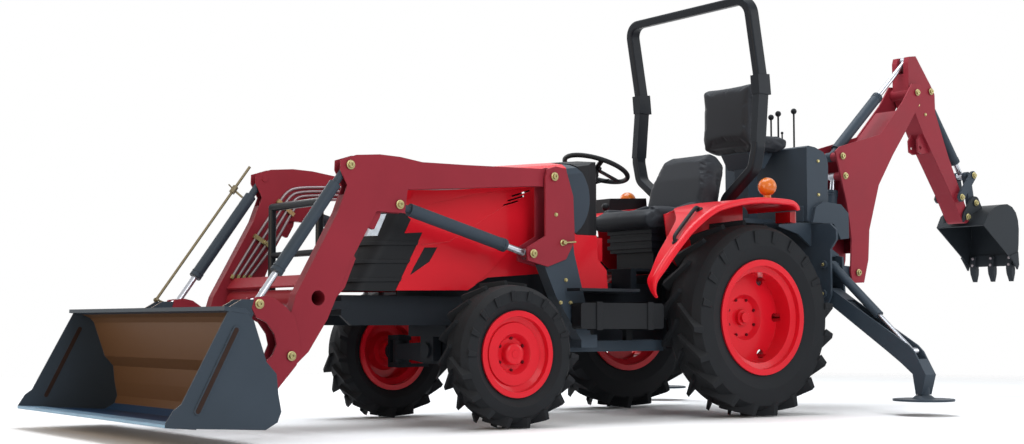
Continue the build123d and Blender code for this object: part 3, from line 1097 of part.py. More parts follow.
BOOM_OUTLINE = (
    (BOOM_FOOT[0] - 60, 800.0), (BOOM_FOOT[0] + 50, 795.0), (BOOM_FOOT[0] + 68, BOOM_FOOT[1]), (fx(-1445.0), 1078.0),
    (fx(-1430.0), 1180.0), (fx(-1405.0), 1310.0), (fx(-1300.0), 1655.0), (fx(-1345.0), 1690.0), (fx(-1745.0), 1800.0),
    (fx(-1985.0), 2040.0), (fx(-2085.0), 2175.0), (fx(-2165.0), 2180.0), (fx(-2196.0), 2110.0), (fx(-2160.0), 2040.0),
    (fx(-2020.0), 1856.0), (fx(-1870.0), 1668.0), (fx(-1722.0), 1456.0), (fx(-1620.0), 1151.0), (fx(-1606.0), 954.0),
)
with BuildPart() as hoe_boom:
    for side in (1, -1):
        y_low = min(side * BOOM_HALF, side * (BOOM_HALF - BOOM_PLATE))
        slab(BOOM_OUTLINE, y_low, y_low + BOOM_PLATE)
    strip(
        ((fx(-1594.0), 1000.0), (fx(-1608.0), 1151.0), (fx(-1708.0), 1456.0), (fx(-1856.0), 1668.0), (fx(-2000.0), 1850.0)),
        -BOOM_HALF + BOOM_PLATE - 1, BOOM_HALF - BOOM_PLATE + 1, 10.0, 0,
    )
    strip(
        ((fx(-1480.0), 1100.0), (fx(-1520.0), 1330.0), (fx(-1600.0), 1640.0), (fx(-1755.0), 1795.0), (fx(-1935.0), 1975.0)),
        -BOOM_HALF + BOOM_PLATE - 1, BOOM_HALF - BOOM_PLATE + 1, 10.0, 0,
    )
    for place in (BOOM_FOOT, BOOM_TIP):
        pin(place, -BOOM_HALF - 1, BOOM_HALF + 1, HOE_PIN_RADIUS + RUN_GAP, mode=Mode.SUBTRACT)
    for side in (1, -1):
        for place in (CROWD_BASE, BOOM_CYL_ROD):
            y_low = min(side * 26.0, side * (BOOM_HALF - 1))
            pin(place, y_low, y_low + BOOM_HALF - 27, 30)
    pin(CROWD_BASE, -BOOM_HALF - 6, BOOM_HALF + 6, HOE_PIN_RADIUS)
keep(hoe_boom.part, "hoe_boom")
HOE_EYE_HALF = 24.0
with BuildPart() as boom_barrel:
    barrel(BOOM_CYL_BASE, BOOM_CYL_ROD, 0, HOE_BARREL_RADIUS, HOE_ROD_RADIUS + RUN_GAP, 450.0,
           80.0, 32.0, HOE_EYE_HALF, HOE_PIN_RADIUS + RUN_GAP)
keep(boom_barrel.part, "boom_barrel")
with BuildPart() as boom_rod:
    piston(BOOM_CYL_BASE, BOOM_CYL_ROD, 0, HOE_ROD_RADIUS, 140.0, 28.0, HOE_EYE_HALF)
keep(boom_rod.part, "boom_rod")

# Dipper: a closed box that widens at the boom pin, with ears for both cylinders
DIPPER_OUTLINE = (
    (fx(-2100.0), 2370.0), (fx(-2088.0), 2330.0), (fx(-2092.0), 2120.0), (fx(-2152.0), 1989.0), (fx(-2240.0), 1840.0),
    (fx(-2528.0), 1442.0), (fx(-2644.0), 1262.0), (fx(-2722.0), 1300.0), (fx(-2630.0), 1470.0),
    (fx(-2508.0), 1700.0), (fx(-2372.0), 2000.0), (fx(-2368.0), 2130.0), (fx(-2330.0), 2185.0), (fx(-2170.0), 2380.0),
)
THUMB_HOLE = (fx(-2237.0), 1750.0)
THUMB_HOLE_RADIUS = 12.5
with BuildPart() as dipper:
    slab(DIPPER_OUTLINE, -DIPPER_HALF, DIPPER_HALF)
    slab(
        ((fx(-2080.0), 2400.0), (fx(-2080.0), 2255.0), (fx(-2230.0), 2255.0), (fx(-2230.0), 2400.0)),
        -HOE_EYE_HALF - 3, HOE_EYE_HALF + 3, mode=Mode.SUBTRACT,
    )
    slab(
        ((fx(-2240.0), 2200.0), (fx(-2290.0), 2110.0), (fx(-2320.0), 2030.0), (fx(-2440.0), 1860.0), (fx(-2440.0), 2220.0)),
        -HOE_BARREL_RADIUS - 6, HOE_BARREL_RADIUS + 6, mode=Mode.SUBTRACT,
    )
    for side in (1, -1):
        y_low = min(side * 30.0, side * 44.0)
        slab(
            ((fx(-2285.0), 1800.0), (fx(-2240.0), 1850.0), (fx(-2206.0), 1800.0), (fx(-2212.0), 1722.0),
             (fx(-2256.0), 1706.0), (fx(-2340.0), 1720.0)),
            y_low, y_low + 14,
        )
    pin(THUMB_HOLE, -46, 46, THUMB_HOLE_RADIUS, mode=Mode.SUBTRACT)
    pin(BOOM_TIP, -BOOM_HALF - 8, BOOM_HALF + 8, HOE_PIN_RADIUS)
    pin(BOOM_TIP, -BOOM_HALF + BOOM_PLATE + SIDE_GAP, BOOM_HALF - BOOM_PLATE - SIDE_GAP, 44)
    pin(CURL_BASE, -DIPPER_HALF - 8, DIPPER_HALF + 8, HOE_PIN_RADIUS)
    pin(CURL_BASE, HOE_EYE_HALF + 1, DIPPER_HALF - 1, 34)
    pin(CURL_BASE, -DIPPER_HALF + 1, -HOE_EYE_HALF - 1, 34)
    pin(IDLER_PIN, -DIPPER_HALF - 21, DIPPER_HALF + 21, 30)
    pin(IDLER_PIN, -DIPPER_HALF - 40, DIPPER_HALF + 40, HOE_PIN_RADIUS)
    pin(SCOOP_PIN, -DIPPER_HALF, DIPPER_HALF, 44)
    pin(SCOOP_PIN, -DIPPER_HALF - 1, DIPPER_HALF + 1, HOE_PIN_RADIUS + RUN_GAP, mode=Mode.SUBTRACT)
keep(dipper.part, "dipper")
with BuildPart() as crowd_barrel:
    barrel(CROWD_BASE, CROWD_ROD, 0, HOE_BARREL_RADIUS, HOE_ROD_RADIUS + RUN_GAP, 664.0,
           80.0, 32.0, HOE_EYE_HALF, HOE_PIN_RADIUS + RUN_GAP)
keep(crowd_barrel.part, "crowd_barrel")
with BuildPart() as crowd_rod:
    piston(CROWD_BASE, CROWD_ROD, 0, HOE_ROD_RADIUS, 375.0, 28.0, HOE_EYE_HALF)
keep(crowd_rod.part, "crowd_rod")
with BuildPart() as curl_barrel:
    barrel(CURL_BASE, CURL_PIN, 0, HOE_BARREL_RADIUS, HOE_ROD_RADIUS + RUN_GAP, 590.0,
           80.0, 32.0, HOE_EYE_HALF, HOE_PIN_RADIUS + RUN_GAP)
keep(curl_barrel.part, "curl_barrel")
with BuildPart() as curl_rod:
    piston(CURL_BASE, CURL_PIN, 0, HOE_ROD_RADIUS, 230.0, 28.0, HOE_EYE_HALF)
keep(curl_rod.part, "curl_rod")

# Idler plates outside the dipper, and the bucket link between them
IDLER_IN = DIPPER_HALF + 22.0
IDLER_PLATE = 14.0
LINK_IN = HOE_EYE_HALF + 4.0
LINK_WIDTH = 32.0
LINK_OUT = LINK_IN + LINK_WIDTH
with BuildPart() as idlers:
    for side in (1, -1):
        y_low = min(side * IDLER_IN, side * (IDLER_IN + IDLER_PLATE))
        link(IDLER_PIN, CURL_PIN, 32, y_low, y_low + IDLER_PLATE)
    pin(IDLER_PIN, -IDLER_IN - 30, IDLER_IN + 30, HOE_PIN_RADIUS + RUN_GAP, mode=Mode.SUBTRACT)
    pin(CURL_PIN, LINK_IN, IDLER_IN + IDLER_PLATE + 6, HOE_PIN_RADIUS)
    pin(CURL_PIN, -IDLER_IN - IDLER_PLATE - 6, -LINK_IN, HOE_PIN_RADIUS)
keep(idlers.part, "idlers")
with BuildPart() as bucket_link:
    for side in (1, -1):
        y_low = min(side * LINK_IN, side * LINK_OUT)
        link(CURL_PIN, SCOOP_LINK_PIN, 30, y_low, y_low + LINK_WIDTH)
    pin(CURL_PIN, -LINK_OUT - 1, LINK_OUT + 1, HOE_PIN_RADIUS + RUN_GAP, mode=Mode.SUBTRACT)
    middle = toward(CURL_PIN, SCOOP_LINK_PIN, 130.0)
    pin(middle, -30, 30, 14)
keep(bucket_link.part, "bucket_link")

# Backhoe bucket with its ears and teeth
SCOOP_SHELL = (
    (fx(-2716.0), 1218.0), (fx(-2764.0), 1298.0), (fx(-2840.0), 1346.0), (fx(-2985.0), 1382.0), (fx(-3080.0), 1330.0),
    (fx(-3112.0), 1210.0), (fx(-3096.0), 1060.0), (fx(-3030.0), 972.0),
)
with BuildPart() as hoe_bucket:
    slab(
        SCOOP_SHELL + ((fx(-2900.0), 1075.0),), SCOOP_HALF - SCOOP_WALL, SCOOP_HALF,
    )
    slab(
        SCOOP_SHELL + ((fx(-2900.0), 1075.0),), -SCOOP_HALF, -SCOOP_HALF + SCOOP_WALL,
    )
    strip(SCOOP_SHELL, -SCOOP_HALF + 1, SCOOP_HALF - 1, 10.0, 0)
    for side in (1, -1):
        y_low = min(side * (DIPPER_HALF + 4), side * (DIPPER_HALF + 18))
        slab(
            ((fx(-2645.0), 1245.0), (fx(-2645.0), 1310.0), (fx(-2740.0), 1430.0), (fx(-2812.0), 1420.0),
             (fx(-2860.0), 1345.0), (fx(-2700.0), 1296.0)),
            y_low, y_low + 14,
        )
        pin(SCOOP_LINK_PIN, min(side * (LINK_OUT + 0.5), side * 96.0), max(side * (LINK_OUT + 0.5), side * 96.0), HOE_PIN_RADIUS)
    pin(SCOOP_PIN, -DIPPER_HALF - 24, DIPPER_HALF + 24, HOE_PIN_RADIUS)
    for y in (-165.0, -55.0, 55.0, 165.0):
        slab(
            ((fx(-3075.0), 1020.0), (fx(-3060.0), 990.0), (fx(-3079.0), 931.0), (fx(-3030.0), 960.0), (fx(-3010.0), 985.0)),
            y - 26, y + 26,
        )
keep(hoe_bucket.part, "hoe_bucket")

# Stabilizers: a bent leg with its pad, and a cylinder, each side
STAB_SLOT_HALF = 35.0
STAB_LEG_HALF = 46.0
leg_lean = atan2(STAB_ROD_PIN[1] - STAB_PIVOT[1], STAB_ROD_PIN[0] - STAB_PIVOT[0])


def on_leg(along, above):
    """A (y, z) point by its distance along the leg from the pivot and its height above the leg's line."""
    return (
        STAB_PIVOT[0] + along * cos(leg_lean) - above * sin(leg_lean),
        STAB_PIVOT[1] + along * sin(leg_lean) + above * cos(leg_lean),
    )


with BuildPart() as stabilizer_left:
    cross_slab(
        (
            on_leg(-34, -6), on_leg(-26, 30), on_leg(10, 44), on_leg(140, 40), on_leg(690, 34), on_leg(744, 22),
            (1186.0, 236.0), (1152.0, 120.0), (1112.0, 120.0), (1092.0, 238.0), on_leg(694, -84), on_leg(560, -74),
            on_leg(10, -42),
        ),
        STAB_X - STAB_LEG_HALF, STAB_X + STAB_LEG_HALF,
    )
    cross_slab(
        (
            on_leg(148, 28), on_leg(300, 4), on_leg(450, -30), on_leg(560, -56), on_leg(604, -96), on_leg(784, -96),
            on_leg(790, 120), on_leg(148, 120),
        ),
        STAB_X - STAB_SLOT_HALF, STAB_X + STAB_SLOT_HALF, mode=Mode.SUBTRACT,
    )
    rod((STAB_X - 47, STAB_PIVOT[0], STAB_PIVOT[1]), (STAB_X + 47, STAB_PIVOT[0], STAB_PIVOT[1]),
        STAB_PIN_RADIUS + RUN_GAP, mode=Mode.SUBTRACT)
    with Locations((STAB_X, STAB_PAD[0], STAB_PAD[1] + 6)):
        Cylinder(STAB_PAD_RADIUS, 12)
    with Locations((STAB_X, STAB_PAD[0], STAB_PAD[1] + 22)):
        Cone(70, 44, 22)
    rod((STAB_X, STAB_PAD[0], STAB_PAD[1] + 10), (STAB_X, STAB_PAD[0], 160.0), 34)
keep(stabilizer_left.part, "stabilizer_left")
with BuildPart() as stab_barrel_left:
    along = Vector(0, STAB_ROD_PIN[0] - STAB_CYL_TOP[0], STAB_ROD_PIN[1] - STAB_CYL_TOP[1]).normalized()
    top = Vector(STAB_X, STAB_CYL_TOP[0], STAB_CYL_TOP[1])
    low = Vector(STAB_X, STAB_ROD_PIN[0], STAB_ROD_PIN[1])
    rod(tuple(top + along * 20), tuple(top + along * STAB_BARREL_LENGTH), 28)
    rod((STAB_X - 22, top.Y, top.Z), (STAB_X + 22, top.Y, top.Z), 26)
    rod(tuple(top + along * 40), tuple(top + along * (STAB_BARREL_LENGTH + 4)), 15 + RUN_GAP, mode=Mode.SUBTRACT)
    rod((STAB_X - 23, top.Y, top.Z), (STAB_X + 23, top.Y, top.Z), STAB_PIN_RADIUS + RUN_GAP, mode=Mode.SUBTRACT)
keep(stab_barrel_left.part, "stab_barrel_left")
with BuildPart() as stab_rod_left:
    rod(tuple(top + along * 318), tuple(low - along * 18), 15)
    rod((STAB_X - 22, low.Y, low.Z), (STAB_X + 22, low.Y, low.Z), 24)
keep(stab_rod_left.part, "stab_rod_left")
for left_part, name in (
    (stabilizer_left, "stabilizer_right"), (stab_barrel_left, "stab_barrel_right"), (stab_rod_left, "stab_rod_right"),
):
    with BuildPart() as right_part:
        mirror(left_part.part, about=Plane.XZ)
    keep(right_part.part, name)
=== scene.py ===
"""Backhoe loader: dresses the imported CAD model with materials, soft goods and small fittings."""
import json
import math

import bmesh
import bpy
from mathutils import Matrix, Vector


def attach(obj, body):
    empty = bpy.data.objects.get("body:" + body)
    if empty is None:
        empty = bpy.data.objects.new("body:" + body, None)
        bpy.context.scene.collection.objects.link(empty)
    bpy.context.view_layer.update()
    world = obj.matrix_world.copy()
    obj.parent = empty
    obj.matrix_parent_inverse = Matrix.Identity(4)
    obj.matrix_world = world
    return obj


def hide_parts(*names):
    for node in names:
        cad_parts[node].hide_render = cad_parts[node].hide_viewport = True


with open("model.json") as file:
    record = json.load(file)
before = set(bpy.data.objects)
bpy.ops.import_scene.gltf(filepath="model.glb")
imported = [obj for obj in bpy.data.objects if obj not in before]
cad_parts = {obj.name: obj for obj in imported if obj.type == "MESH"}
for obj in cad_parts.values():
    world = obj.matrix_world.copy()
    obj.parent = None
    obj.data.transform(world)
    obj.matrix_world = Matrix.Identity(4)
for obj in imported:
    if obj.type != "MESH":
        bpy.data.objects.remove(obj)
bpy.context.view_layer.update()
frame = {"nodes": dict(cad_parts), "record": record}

REAR_AXLE_X = -0.2916


def fx(x):
    """X in the row frame of a distance ahead of the rear axle, in metres."""
    return REAR_AXLE_X + x


def srgb(red, green, blue):
    """Linear colour of an 8-bit sRGB colour."""
    out = []
    for value in (red, green, blue):
        c = value / 255
        out.append(c / 12.92 if c <= 0.04045 else ((c + 0.055) / 1.055) ** 2.4)
    return (*out, 1.0)


# Materials

SPECULAR = 0.14
COAT_ROUGHNESS = 0.12
BUMP_STRENGTH = 0.5
BEVEL_SAMPLES = 4
# Cosine between the flat and the rounded normal: where wear begins, and where it is full
WEAR_BEGINS = 0.97
WEAR_FULL = 0.82
DUST_COLOUR = srgb(150, 143, 132)


def node_of(tree, kind, **values):
    """Adds a shader node and sets its plain inputs by name."""
    made = tree.nodes.new(kind)
    for key, value in values.items():
        made.inputs[key.replace("_", " ")].default_value = value
    return made


def math_of(tree, operation, first, second):
    """Socket with the result of an operation on two sockets."""
    made = tree.nodes.new("ShaderNodeMath")
    made.operation = operation
    tree.links.new(first, made.inputs[0])
    tree.links.new(second, made.inputs[1])
    return made.outputs["Value"]


def ranged(tree, value, **limits):
    """Socket with a value moved from one range to another."""
    made = node_of(tree, "ShaderNodeMapRange", **limits)
    tree.links.new(value, made.inputs["Value"])
    return made.outputs["Result"]


def noise(tree, place, **values):
    """Socket with noise over a place."""
    made = node_of(tree, "ShaderNodeTexNoise", **values)
    tree.links.new(place, made.inputs["Vector"])
    return made.outputs["Fac"]


def laid_over(tree, base, share, colour):
    """Socket with a colour laid over a base colour by a share."""
    made = node_of(tree, "ShaderNodeMixRGB", Color2=colour)
    tree.links.new(share, made.inputs["Fac"])
    tree.links.new(base, made.inputs["Color1"])
    return made.outputs["Color"]


def surface(name, colour, roughness, metallic=0.0, tint=0.12, patch=3.0, grain=900.0, grain_depth=0.00003,
            wear=0.0, wear_colour=(0.45, 0.44, 0.42, 1.0), dust=0.0, coat=0.0, round_edges=0.0025, spread=0.08):
    """A procedural finish: patchy colour, fine grain, dust on upward faces, worn edges and rounded corners."""
    material = bpy.data.materials.new(name)
    material.use_nodes = True
    tree = material.node_tree
    link = tree.links.new
    shader = tree.nodes["Principled BSDF"]
    for key, value in (("Metallic", metallic), ("Specular IOR Level", SPECULAR), ("Coat Weight", coat),
                       ("Coat Roughness", COAT_ROUGHNESS)):
        shader.inputs[key].default_value = value
    place = tree.nodes.new("ShaderNodeTexCoord").outputs["Object"]
    patches = noise(tree, place, Scale=patch, Detail=5.0, Roughness=0.55)
    fine = noise(tree, place, Scale=grain, Detail=2.0)
    ramp = tree.nodes.new("ShaderNodeValToRGB")
    for stop, position, share in zip(ramp.color_ramp.elements, (0.3, 0.72), (1 - tint, 1 + tint)):
        stop.position = position
        stop.color = tuple(min(1.0, c * share) for c in colour[:3]) + (1.0,)
    link(patches, ramp.inputs["Fac"])
    last = ramp.outputs["Color"]
    geometry = tree.nodes.new("ShaderNodeNewGeometry")
    bevel = node_of(tree, "ShaderNodeBevel", Radius=round_edges)
    bevel.samples = BEVEL_SAMPLES
    if wear > 0:
        facing = tree.nodes.new("ShaderNodeVectorMath")
        facing.operation = "DOT_PRODUCT"
        link(bevel.outputs["Normal"], facing.inputs[0])
        link(geometry.outputs["Normal"], facing.inputs[1])
        edges = ranged(tree, facing.outputs["Value"], From_Min=WEAR_BEGINS, From_Max=WEAR_FULL)
        chips = ranged(tree, noise(tree, place, Scale=38.0, Detail=6.0), From_Min=0.5, From_Max=0.62, To_Max=wear)
        last = laid_over(tree, last, math_of(tree, "MULTIPLY", edges, chips), wear_colour)
    if dust > 0:
        parts = tree.nodes.new("ShaderNodeSeparateXYZ")
        link(geometry.outputs["Normal"], parts.inputs["Vector"])
        upward = ranged(tree, parts.outputs["Z"], From_Min=0.35, From_Max=1.0, To_Max=dust)
        drift = noise(tree, place, Scale=14.0, Detail=7.0)
        last = laid_over(tree, last, math_of(tree, "MULTIPLY", upward, drift), DUST_COLOUR)
    link(last, shader.inputs["Base Color"])
    rough = ranged(tree, patches, To_Min=max(0.03, roughness - spread), To_Max=min(1.0, roughness + spread))
    link(rough, shader.inputs["Roughness"])
    bump = node_of(tree, "ShaderNodeBump", Strength=BUMP_STRENGTH, Distance=grain_depth)
    link(fine, bump.inputs["Height"])
    link(bevel.outputs["Normal"], bump.inputs["Normal"])
    link(bump.outputs["Normal"], shader.inputs["Normal"])
    return material


DARK_GREY = dict(colour=srgb(52, 62, 72), roughness=0.48, tint=0.08, wear=0.4, wear_colour=srgb(128, 134, 140),
                 dust=0.07, grain=380.0)
FINISH = {
    "bright_red": surface("bright_red_paint", srgb(206, 22, 38), 0.32, tint=0.05, grain=420.0, coat=0.15,
                          dust=0.04, round_edges=0.004),
    "dark_red": surface("dark_red_paint", srgb(133, 38, 50), 0.46, tint=0.07, wear=0.25,
                        wear_colour=srgb(150, 90, 92), dust=0.06, grain=380.0),
    "dark_grey": surface("dark_grey_paint", **DARK_GREY),
    "chrome_rod": surface("chrome_rod", srgb(176, 179, 186), 0.3, metallic=1.0, tint=0.04, grain=60.0,
                          grain_depth=0.000004, spread=0.05, round_edges=0.001),
    "iron": surface("iron_casting", srgb(30, 35, 41), 0.6, tint=0.15, grain=220.0, grain_depth=0.0004,
                    dust=0.08, wear=0.2, wear_colour=srgb(90, 92, 94)),
    "tyre": surface("tyre_rubber", srgb(29, 31, 34), 0.72, tint=0.14, patch=5.0, grain=260.0,
                    grain_depth=0.00035, dust=0.05, round_edges=0.004, spread=0.1),
    "black_plastic": surface("black_plastic", srgb(27, 29, 32), 0.55, tint=0.08, grain=700.0,
                             grain_depth=0.00012, round_edges=0.003),
    "black_paint": surface("black_paint", srgb(24, 29, 35), 0.38, tint=0.1, grain=380.0, dust=0.04,
                           wear=0.2, wear_colour=srgb(80, 84, 90)),
    "amber": surface("amber_lens", srgb(202, 104, 22), 0.18, tint=0.06, grain=150.0, grain_depth=0.0006,
                     coat=0.6, round_edges=0.002),
    "lamp_lens": surface("headlamp_glass", srgb(196, 210, 224), 0.12, tint=0.16, patch=26.0, grain=60.0,
                         grain_depth=0.0004, coat=0.8, metallic=0.35, round_edges=0.002),
    "seat_cloth": surface("seat_vinyl", srgb(38, 41, 46), 0.55, tint=0.1, grain=320.0, grain_depth=0.0004,
                          round_edges=0.004),
}


def dress(node, material):
    """Gives a CAD node one material."""
    materials = frame["nodes"][node].data.materials
    materials.clear()
    materials.append(material)


for entry in frame["record"]["subparts"]:
    dress(entry["node"], FINISH[entry["material_slot"]])

SOFT_EDGE = 0.001
BUCKET_INSIDE = 0.905
# The least and the most x of the back wall and z of the floor
BACK_WALL = (fx(3.02), fx(3.42))
BUCKET_FLOOR = (0.05, 0.2)
# Painted light inside the loader bucket: a warm brown on the back wall's forward faces and a blue tint on the floor's
# upward faces
PAINTED_WARM_LIGHT_BROWN = srgb(84, 62, 44)
PAINTED_SKYLIGHT_BLUE = srgb(34, 58, 88)


def between(tree, value, low, high):
    """Socket that is 1 where a value lies between two limits, with a soft edge of 2 mm."""
    rise = ranged(tree, value, From_Min=low - SOFT_EDGE, From_Max=low + SOFT_EDGE)
    fall = ranged(tree, value, From_Min=high + SOFT_EDGE, From_Max=high - SOFT_EDGE)
    return math_of(tree, "MULTIPLY", rise, fall)


def bucket_with_painted_light():
    """The bucket's paint, with painted warm light in brown on the back wall and painted blue skylight on the floor
    inside.
    """
    material = surface("loader_bucket_paint", **DARK_GREY)
    tree = material.node_tree
    shader = tree.nodes["Principled BSDF"]
    place = tree.nodes.new("ShaderNodeTexCoord")
    spot = tree.nodes.new("ShaderNodeSeparateXYZ")
    facing = tree.nodes.new("ShaderNodeSeparateXYZ")
    tree.links.new(place.outputs["Object"], spot.inputs["Vector"])
    tree.links.new(place.outputs["Normal"], facing.inputs["Vector"])
    last = shader.inputs["Base Color"].links[0].from_socket
    across = between(tree, spot.outputs["Y"], -BUCKET_INSIDE, BUCKET_INSIDE)
    # Painted warm light where faces point forward, painted skylight where faces point up
    for axis, least_facing, limits, colour in (("X", 0.35, BACK_WALL, PAINTED_WARM_LIGHT_BROWN),
                                               ("Z", 0.7, BUCKET_FLOOR, PAINTED_SKYLIGHT_BLUE)):
        share = math_of(tree, "MULTIPLY", between(tree, facing.outputs[axis], least_facing, 2.0),
                        between(tree, spot.outputs[axis], *limits))
        last = laid_over(tree, last, math_of(tree, "MULTIPLY", share, across), colour)
    tree.links.new(last, shader.inputs["Base Color"])
    return material


dress("loader_bucket", bucket_with_painted_light())


# Fittings: turned heads, tubes and bolts

ZINC = surface("zinc_plate", srgb(160, 151, 108), 0.38, metallic=0.85, tint=0.14, patch=30.0, grain=300.0,
               grain_depth=0.00006, round_edges=0.001)
BRIGHT_LINE = surface("bright_line", srgb(142, 134, 138), 0.42, metallic=0.5, tint=0.1, patch=40.0, grain=300.0,
                      grain_depth=0.00002, round_edges=0.001)
# Worn steel grey, with a blue tint that is painted skylight on the upward cutting edge
CUTTING_STEEL_SKYLIT = surface("cutting_steel_skylit", srgb(116, 150, 176), 0.34, metallic=0.35, tint=0.12, patch=9.0, grain=200.0,
                        grain_depth=0.00015, wear=0.5, wear_colour=srgb(160, 166, 172), dust=0.05)
RED_LENS = surface("red_lens", srgb(150, 12, 18), 0.2, tint=0.08, grain=160.0, grain_depth=0.0006, coat=0.6)
WHEEL_NUT = surface("wheel_nut", srgb(96, 18, 26), 0.5, metallic=0.3, tint=0.1, grain=300.0, round_edges=0.001)
SCOOP_STEEL = surface("scoop_paint", srgb(38, 43, 48), 0.5, tint=0.1, grain=380.0, wear=0.5,
                      wear_colour=srgb(110, 112, 114), dust=0.06)
# Dark brown painted shade for the sunken slots in the bucket's side plates
SLOT_SHADE_BROWN = surface("slot_shade_brown", srgb(46, 32, 27), 0.7, tint=0.2, patch=12.0, grain=300.0, round_edges=0.001)
OLIVE = surface("olive_plate", srgb(118, 110, 88), 0.45, metallic=0.4, tint=0.12, patch=30.0, grain=300.0,
                grain_depth=0.00005, round_edges=0.001)


SIDES = ((1, "left"), (-1, "right"))
# A turned form is closed at this radius, in mm, and a search along Y starts this far out, in metres
CORE = 0.5
OUTSIDE = 3.0


def mm(x, y, z):
    """A point in metres from millimetres ahead of the rear axle, to the left and up."""
    return Vector((fx(x / 1000), y / 1000, z / 1000))


def mm_at(pin, y):
    """A point in metres on a pin, which is an x and a z in mm."""
    return mm(pin[0], y, pin[1])


def closed(mesh, rings):
    """Joins rings of corners one after another and closes both ends."""
    for low, high in zip(rings, rings[1:]):
        for index in range(len(low)):
            after = (index + 1) % len(low)
            mesh.faces.new((low[index], low[after], high[after], high[index]))
    mesh.faces.new(rings[0][::-1])
    mesh.faces.new(rings[-1])


def turned(mesh, profile, place, axis, steps=20):
    """Revolves (radius, height) points, in mm, round an axis through a place and adds them to a bmesh."""
    turn = Vector(axis).normalized().to_track_quat("Z", "X").to_matrix()
    rings = []
    for radius, height in profile:
        ring = []
        for index in range(steps):
            angle = 2 * math.pi * index / steps
            spot = Vector((radius * math.cos(angle), radius * math.sin(angle), height)) / 1000
            ring.append(mesh.verts.new(place + turn @ spot))
        rings.append(ring)
    closed(mesh, rings)


def rod(mesh, radius, low, high, place, axis, steps):
    """Adds a plain round bar to a bmesh, from one height on its axis to another, in mm."""
    turned(mesh, ((CORE, low), (radius, low), (radius, high), (CORE, high)), place, axis, steps)


def piece(name, mesh, body, material, smooth=True, angle=35.0):
    """Turns a bmesh into an object that rides on a body."""
    bmesh.ops.recalc_face_normals(mesh, faces=mesh.faces)
    data = bpy.data.meshes.new(name)
    mesh.to_mesh(data)
    mesh.free()
    data.materials.append(material)
    made = bpy.data.objects.new(name, data)
    bpy.context.collection.objects.link(made)
    if smooth:
        for face in data.polygons:
            face.use_smooth = True
        data.set_sharp_from_angle(angle=math.radians(angle))
    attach(made, body)
    return made


def meets_y(node, x, z, start, way):
    """Where a line along Y first meets a CAD node, in mm; it starts at a y in metres."""
    hit, spot, *_ = frame["nodes"][node].ray_cast(Vector((fx(x / 1000), start, z / 1000)), Vector((0, way, 0)))
    return spot.y * 1000 if hit else None


def outer_y(node, x, z, side):
    """Where a line along Y from outside first meets a CAD node, in mm."""
    return meets_y(node, x, z, side * OUTSIDE, -side)


def heads_on(name, body, places, profiles, angle):
    """A piece of pin or bolt heads on both outer faces of CAD nodes, at (node, x, z) places."""
    heads = bmesh.new()
    for node, x, z in places:
        for side in (1, -1):
            face = outer_y(node, x, z, side)
            if face is None:
                continue
            for profile, steps in profiles:
                turned(heads, profile, mm(x, face, z), (0, side, 0), steps)
    piece(name, heads, body, ZINC, angle=angle)


PIN_HEAD = ((CORE, -1.0), (23.0, -1.0), (23.0, 3.0), (21.5, 4.0), (15.0, 4.0), (15.0, 12.5), (13.5, 14.0), (6.5, 14.0),
            (5.5, 12.5), (5.5, 9.0), (CORE, 9.0))
SMALL_HEAD = ((CORE, -0.6), (11.0, -0.6), (11.0, 1.5), (8.0, 1.8), (8.0, 7.0), (7.0, 8.0), (CORE, 8.0))
HEX_HEAD = ((9.5, 1.2), (9.5, 7.5), (8.6, 8.4), (CORE, 8.4))
# The machine's pins, each an x and a z in mm; a cylinder's barrel hangs on its PIN and its rod holds its EYE
MAST_PIVOT = (1344.0, 1306.0)
LIFT_PIN = (2294.0, 1115.0)
LIFT_EYE = (1484.0, 894.0)
TILT_PIN = (2576.0, 1295.0)
TILT_EYE = (3061.0, 619.0)
BUCKET_PIVOT = (2895.0, 378.0)
BOOM_PIVOT = (-1500.0, 865.0)
BOOM_PIN = (-1332.0, 962.0)
BOOM_EYE = (-1392.0, 1500.0)
DIPPER_PIVOT = (-2130.0, 2118.0)
CROWD_PIN = (-1363.0, 1628.0)
CROWD_EYE = (-2140.0, 2347.0)
CURL_PIN = (-2321.0, 2146.0)
IDLER_PIVOT = (-2600.0, 1418.0)
IDLER_PIN = (-2738.0, 1579.0)
LINK_PIN = (-2776.0, 1386.0)
SCOOP_PIVOT = (-2684.0, 1283.0)
ARM_Y = 446.0
# columns: piece, body, node whose faces the heads lie on, pins
PIN_SETS = (
    ("mast_pin_heads", "chassis", "masts", (MAST_PIVOT, LIFT_EYE)),
    ("arm_pin_heads", "loader_arms", "loader_boom", (LIFT_PIN, TILT_PIN)),
    ("hitch_pin_heads", "loader_bucket", "loader_hitch", (BUCKET_PIVOT, TILT_EYE)),
    ("boom_foot_pin_heads", "swing_post", "swing_post", (BOOM_PIVOT,)),
    ("boom_pin_heads", "hoe_boom", "hoe_boom", (CROWD_PIN, BOOM_EYE)),
    ("dipper_pin_heads", "dipper", "dipper", (DIPPER_PIVOT, CURL_PIN, IDLER_PIVOT)),
    ("idler_pin_heads", "idlers", "idlers", (IDLER_PIN,)),
    ("scoop_pin_heads", "hoe_bucket", "hoe_bucket", (LINK_PIN, SCOOP_PIVOT)),
)
for name, body, node, pins in PIN_SETS:
    heads_on(name, body, [(node, *pin) for pin in pins], ((PIN_HEAD, 20),), 35.0)

# Smaller bolts on plates: piece, body, then the node, x and z of each
BOLT_SETS = (
    ("mast_bolts", "chassis", (("masts", 1330.0, 1105.0), ("masts", 1290.0, 800.0), ("mast_posts", 1255.0, 760.0),
                               ("mast_posts", 1225.0, 640.0), ("mast_posts", 1290.0, 640.0))),
    ("tower_bolts", "chassis", (("control_tower", -850.0, 1540.0), ("control_tower", -850.0, 1330.0))),
    ("dipper_bolts", "dipper", (("dipper", -2190.0, 2040.0), ("dipper", -2262.0, 1980.0))),
)
for name, body, places in BOLT_SETS:
    heads_on(name, body, places, ((SMALL_HEAD, 12), (HEX_HEAD, 6)), 25.0)

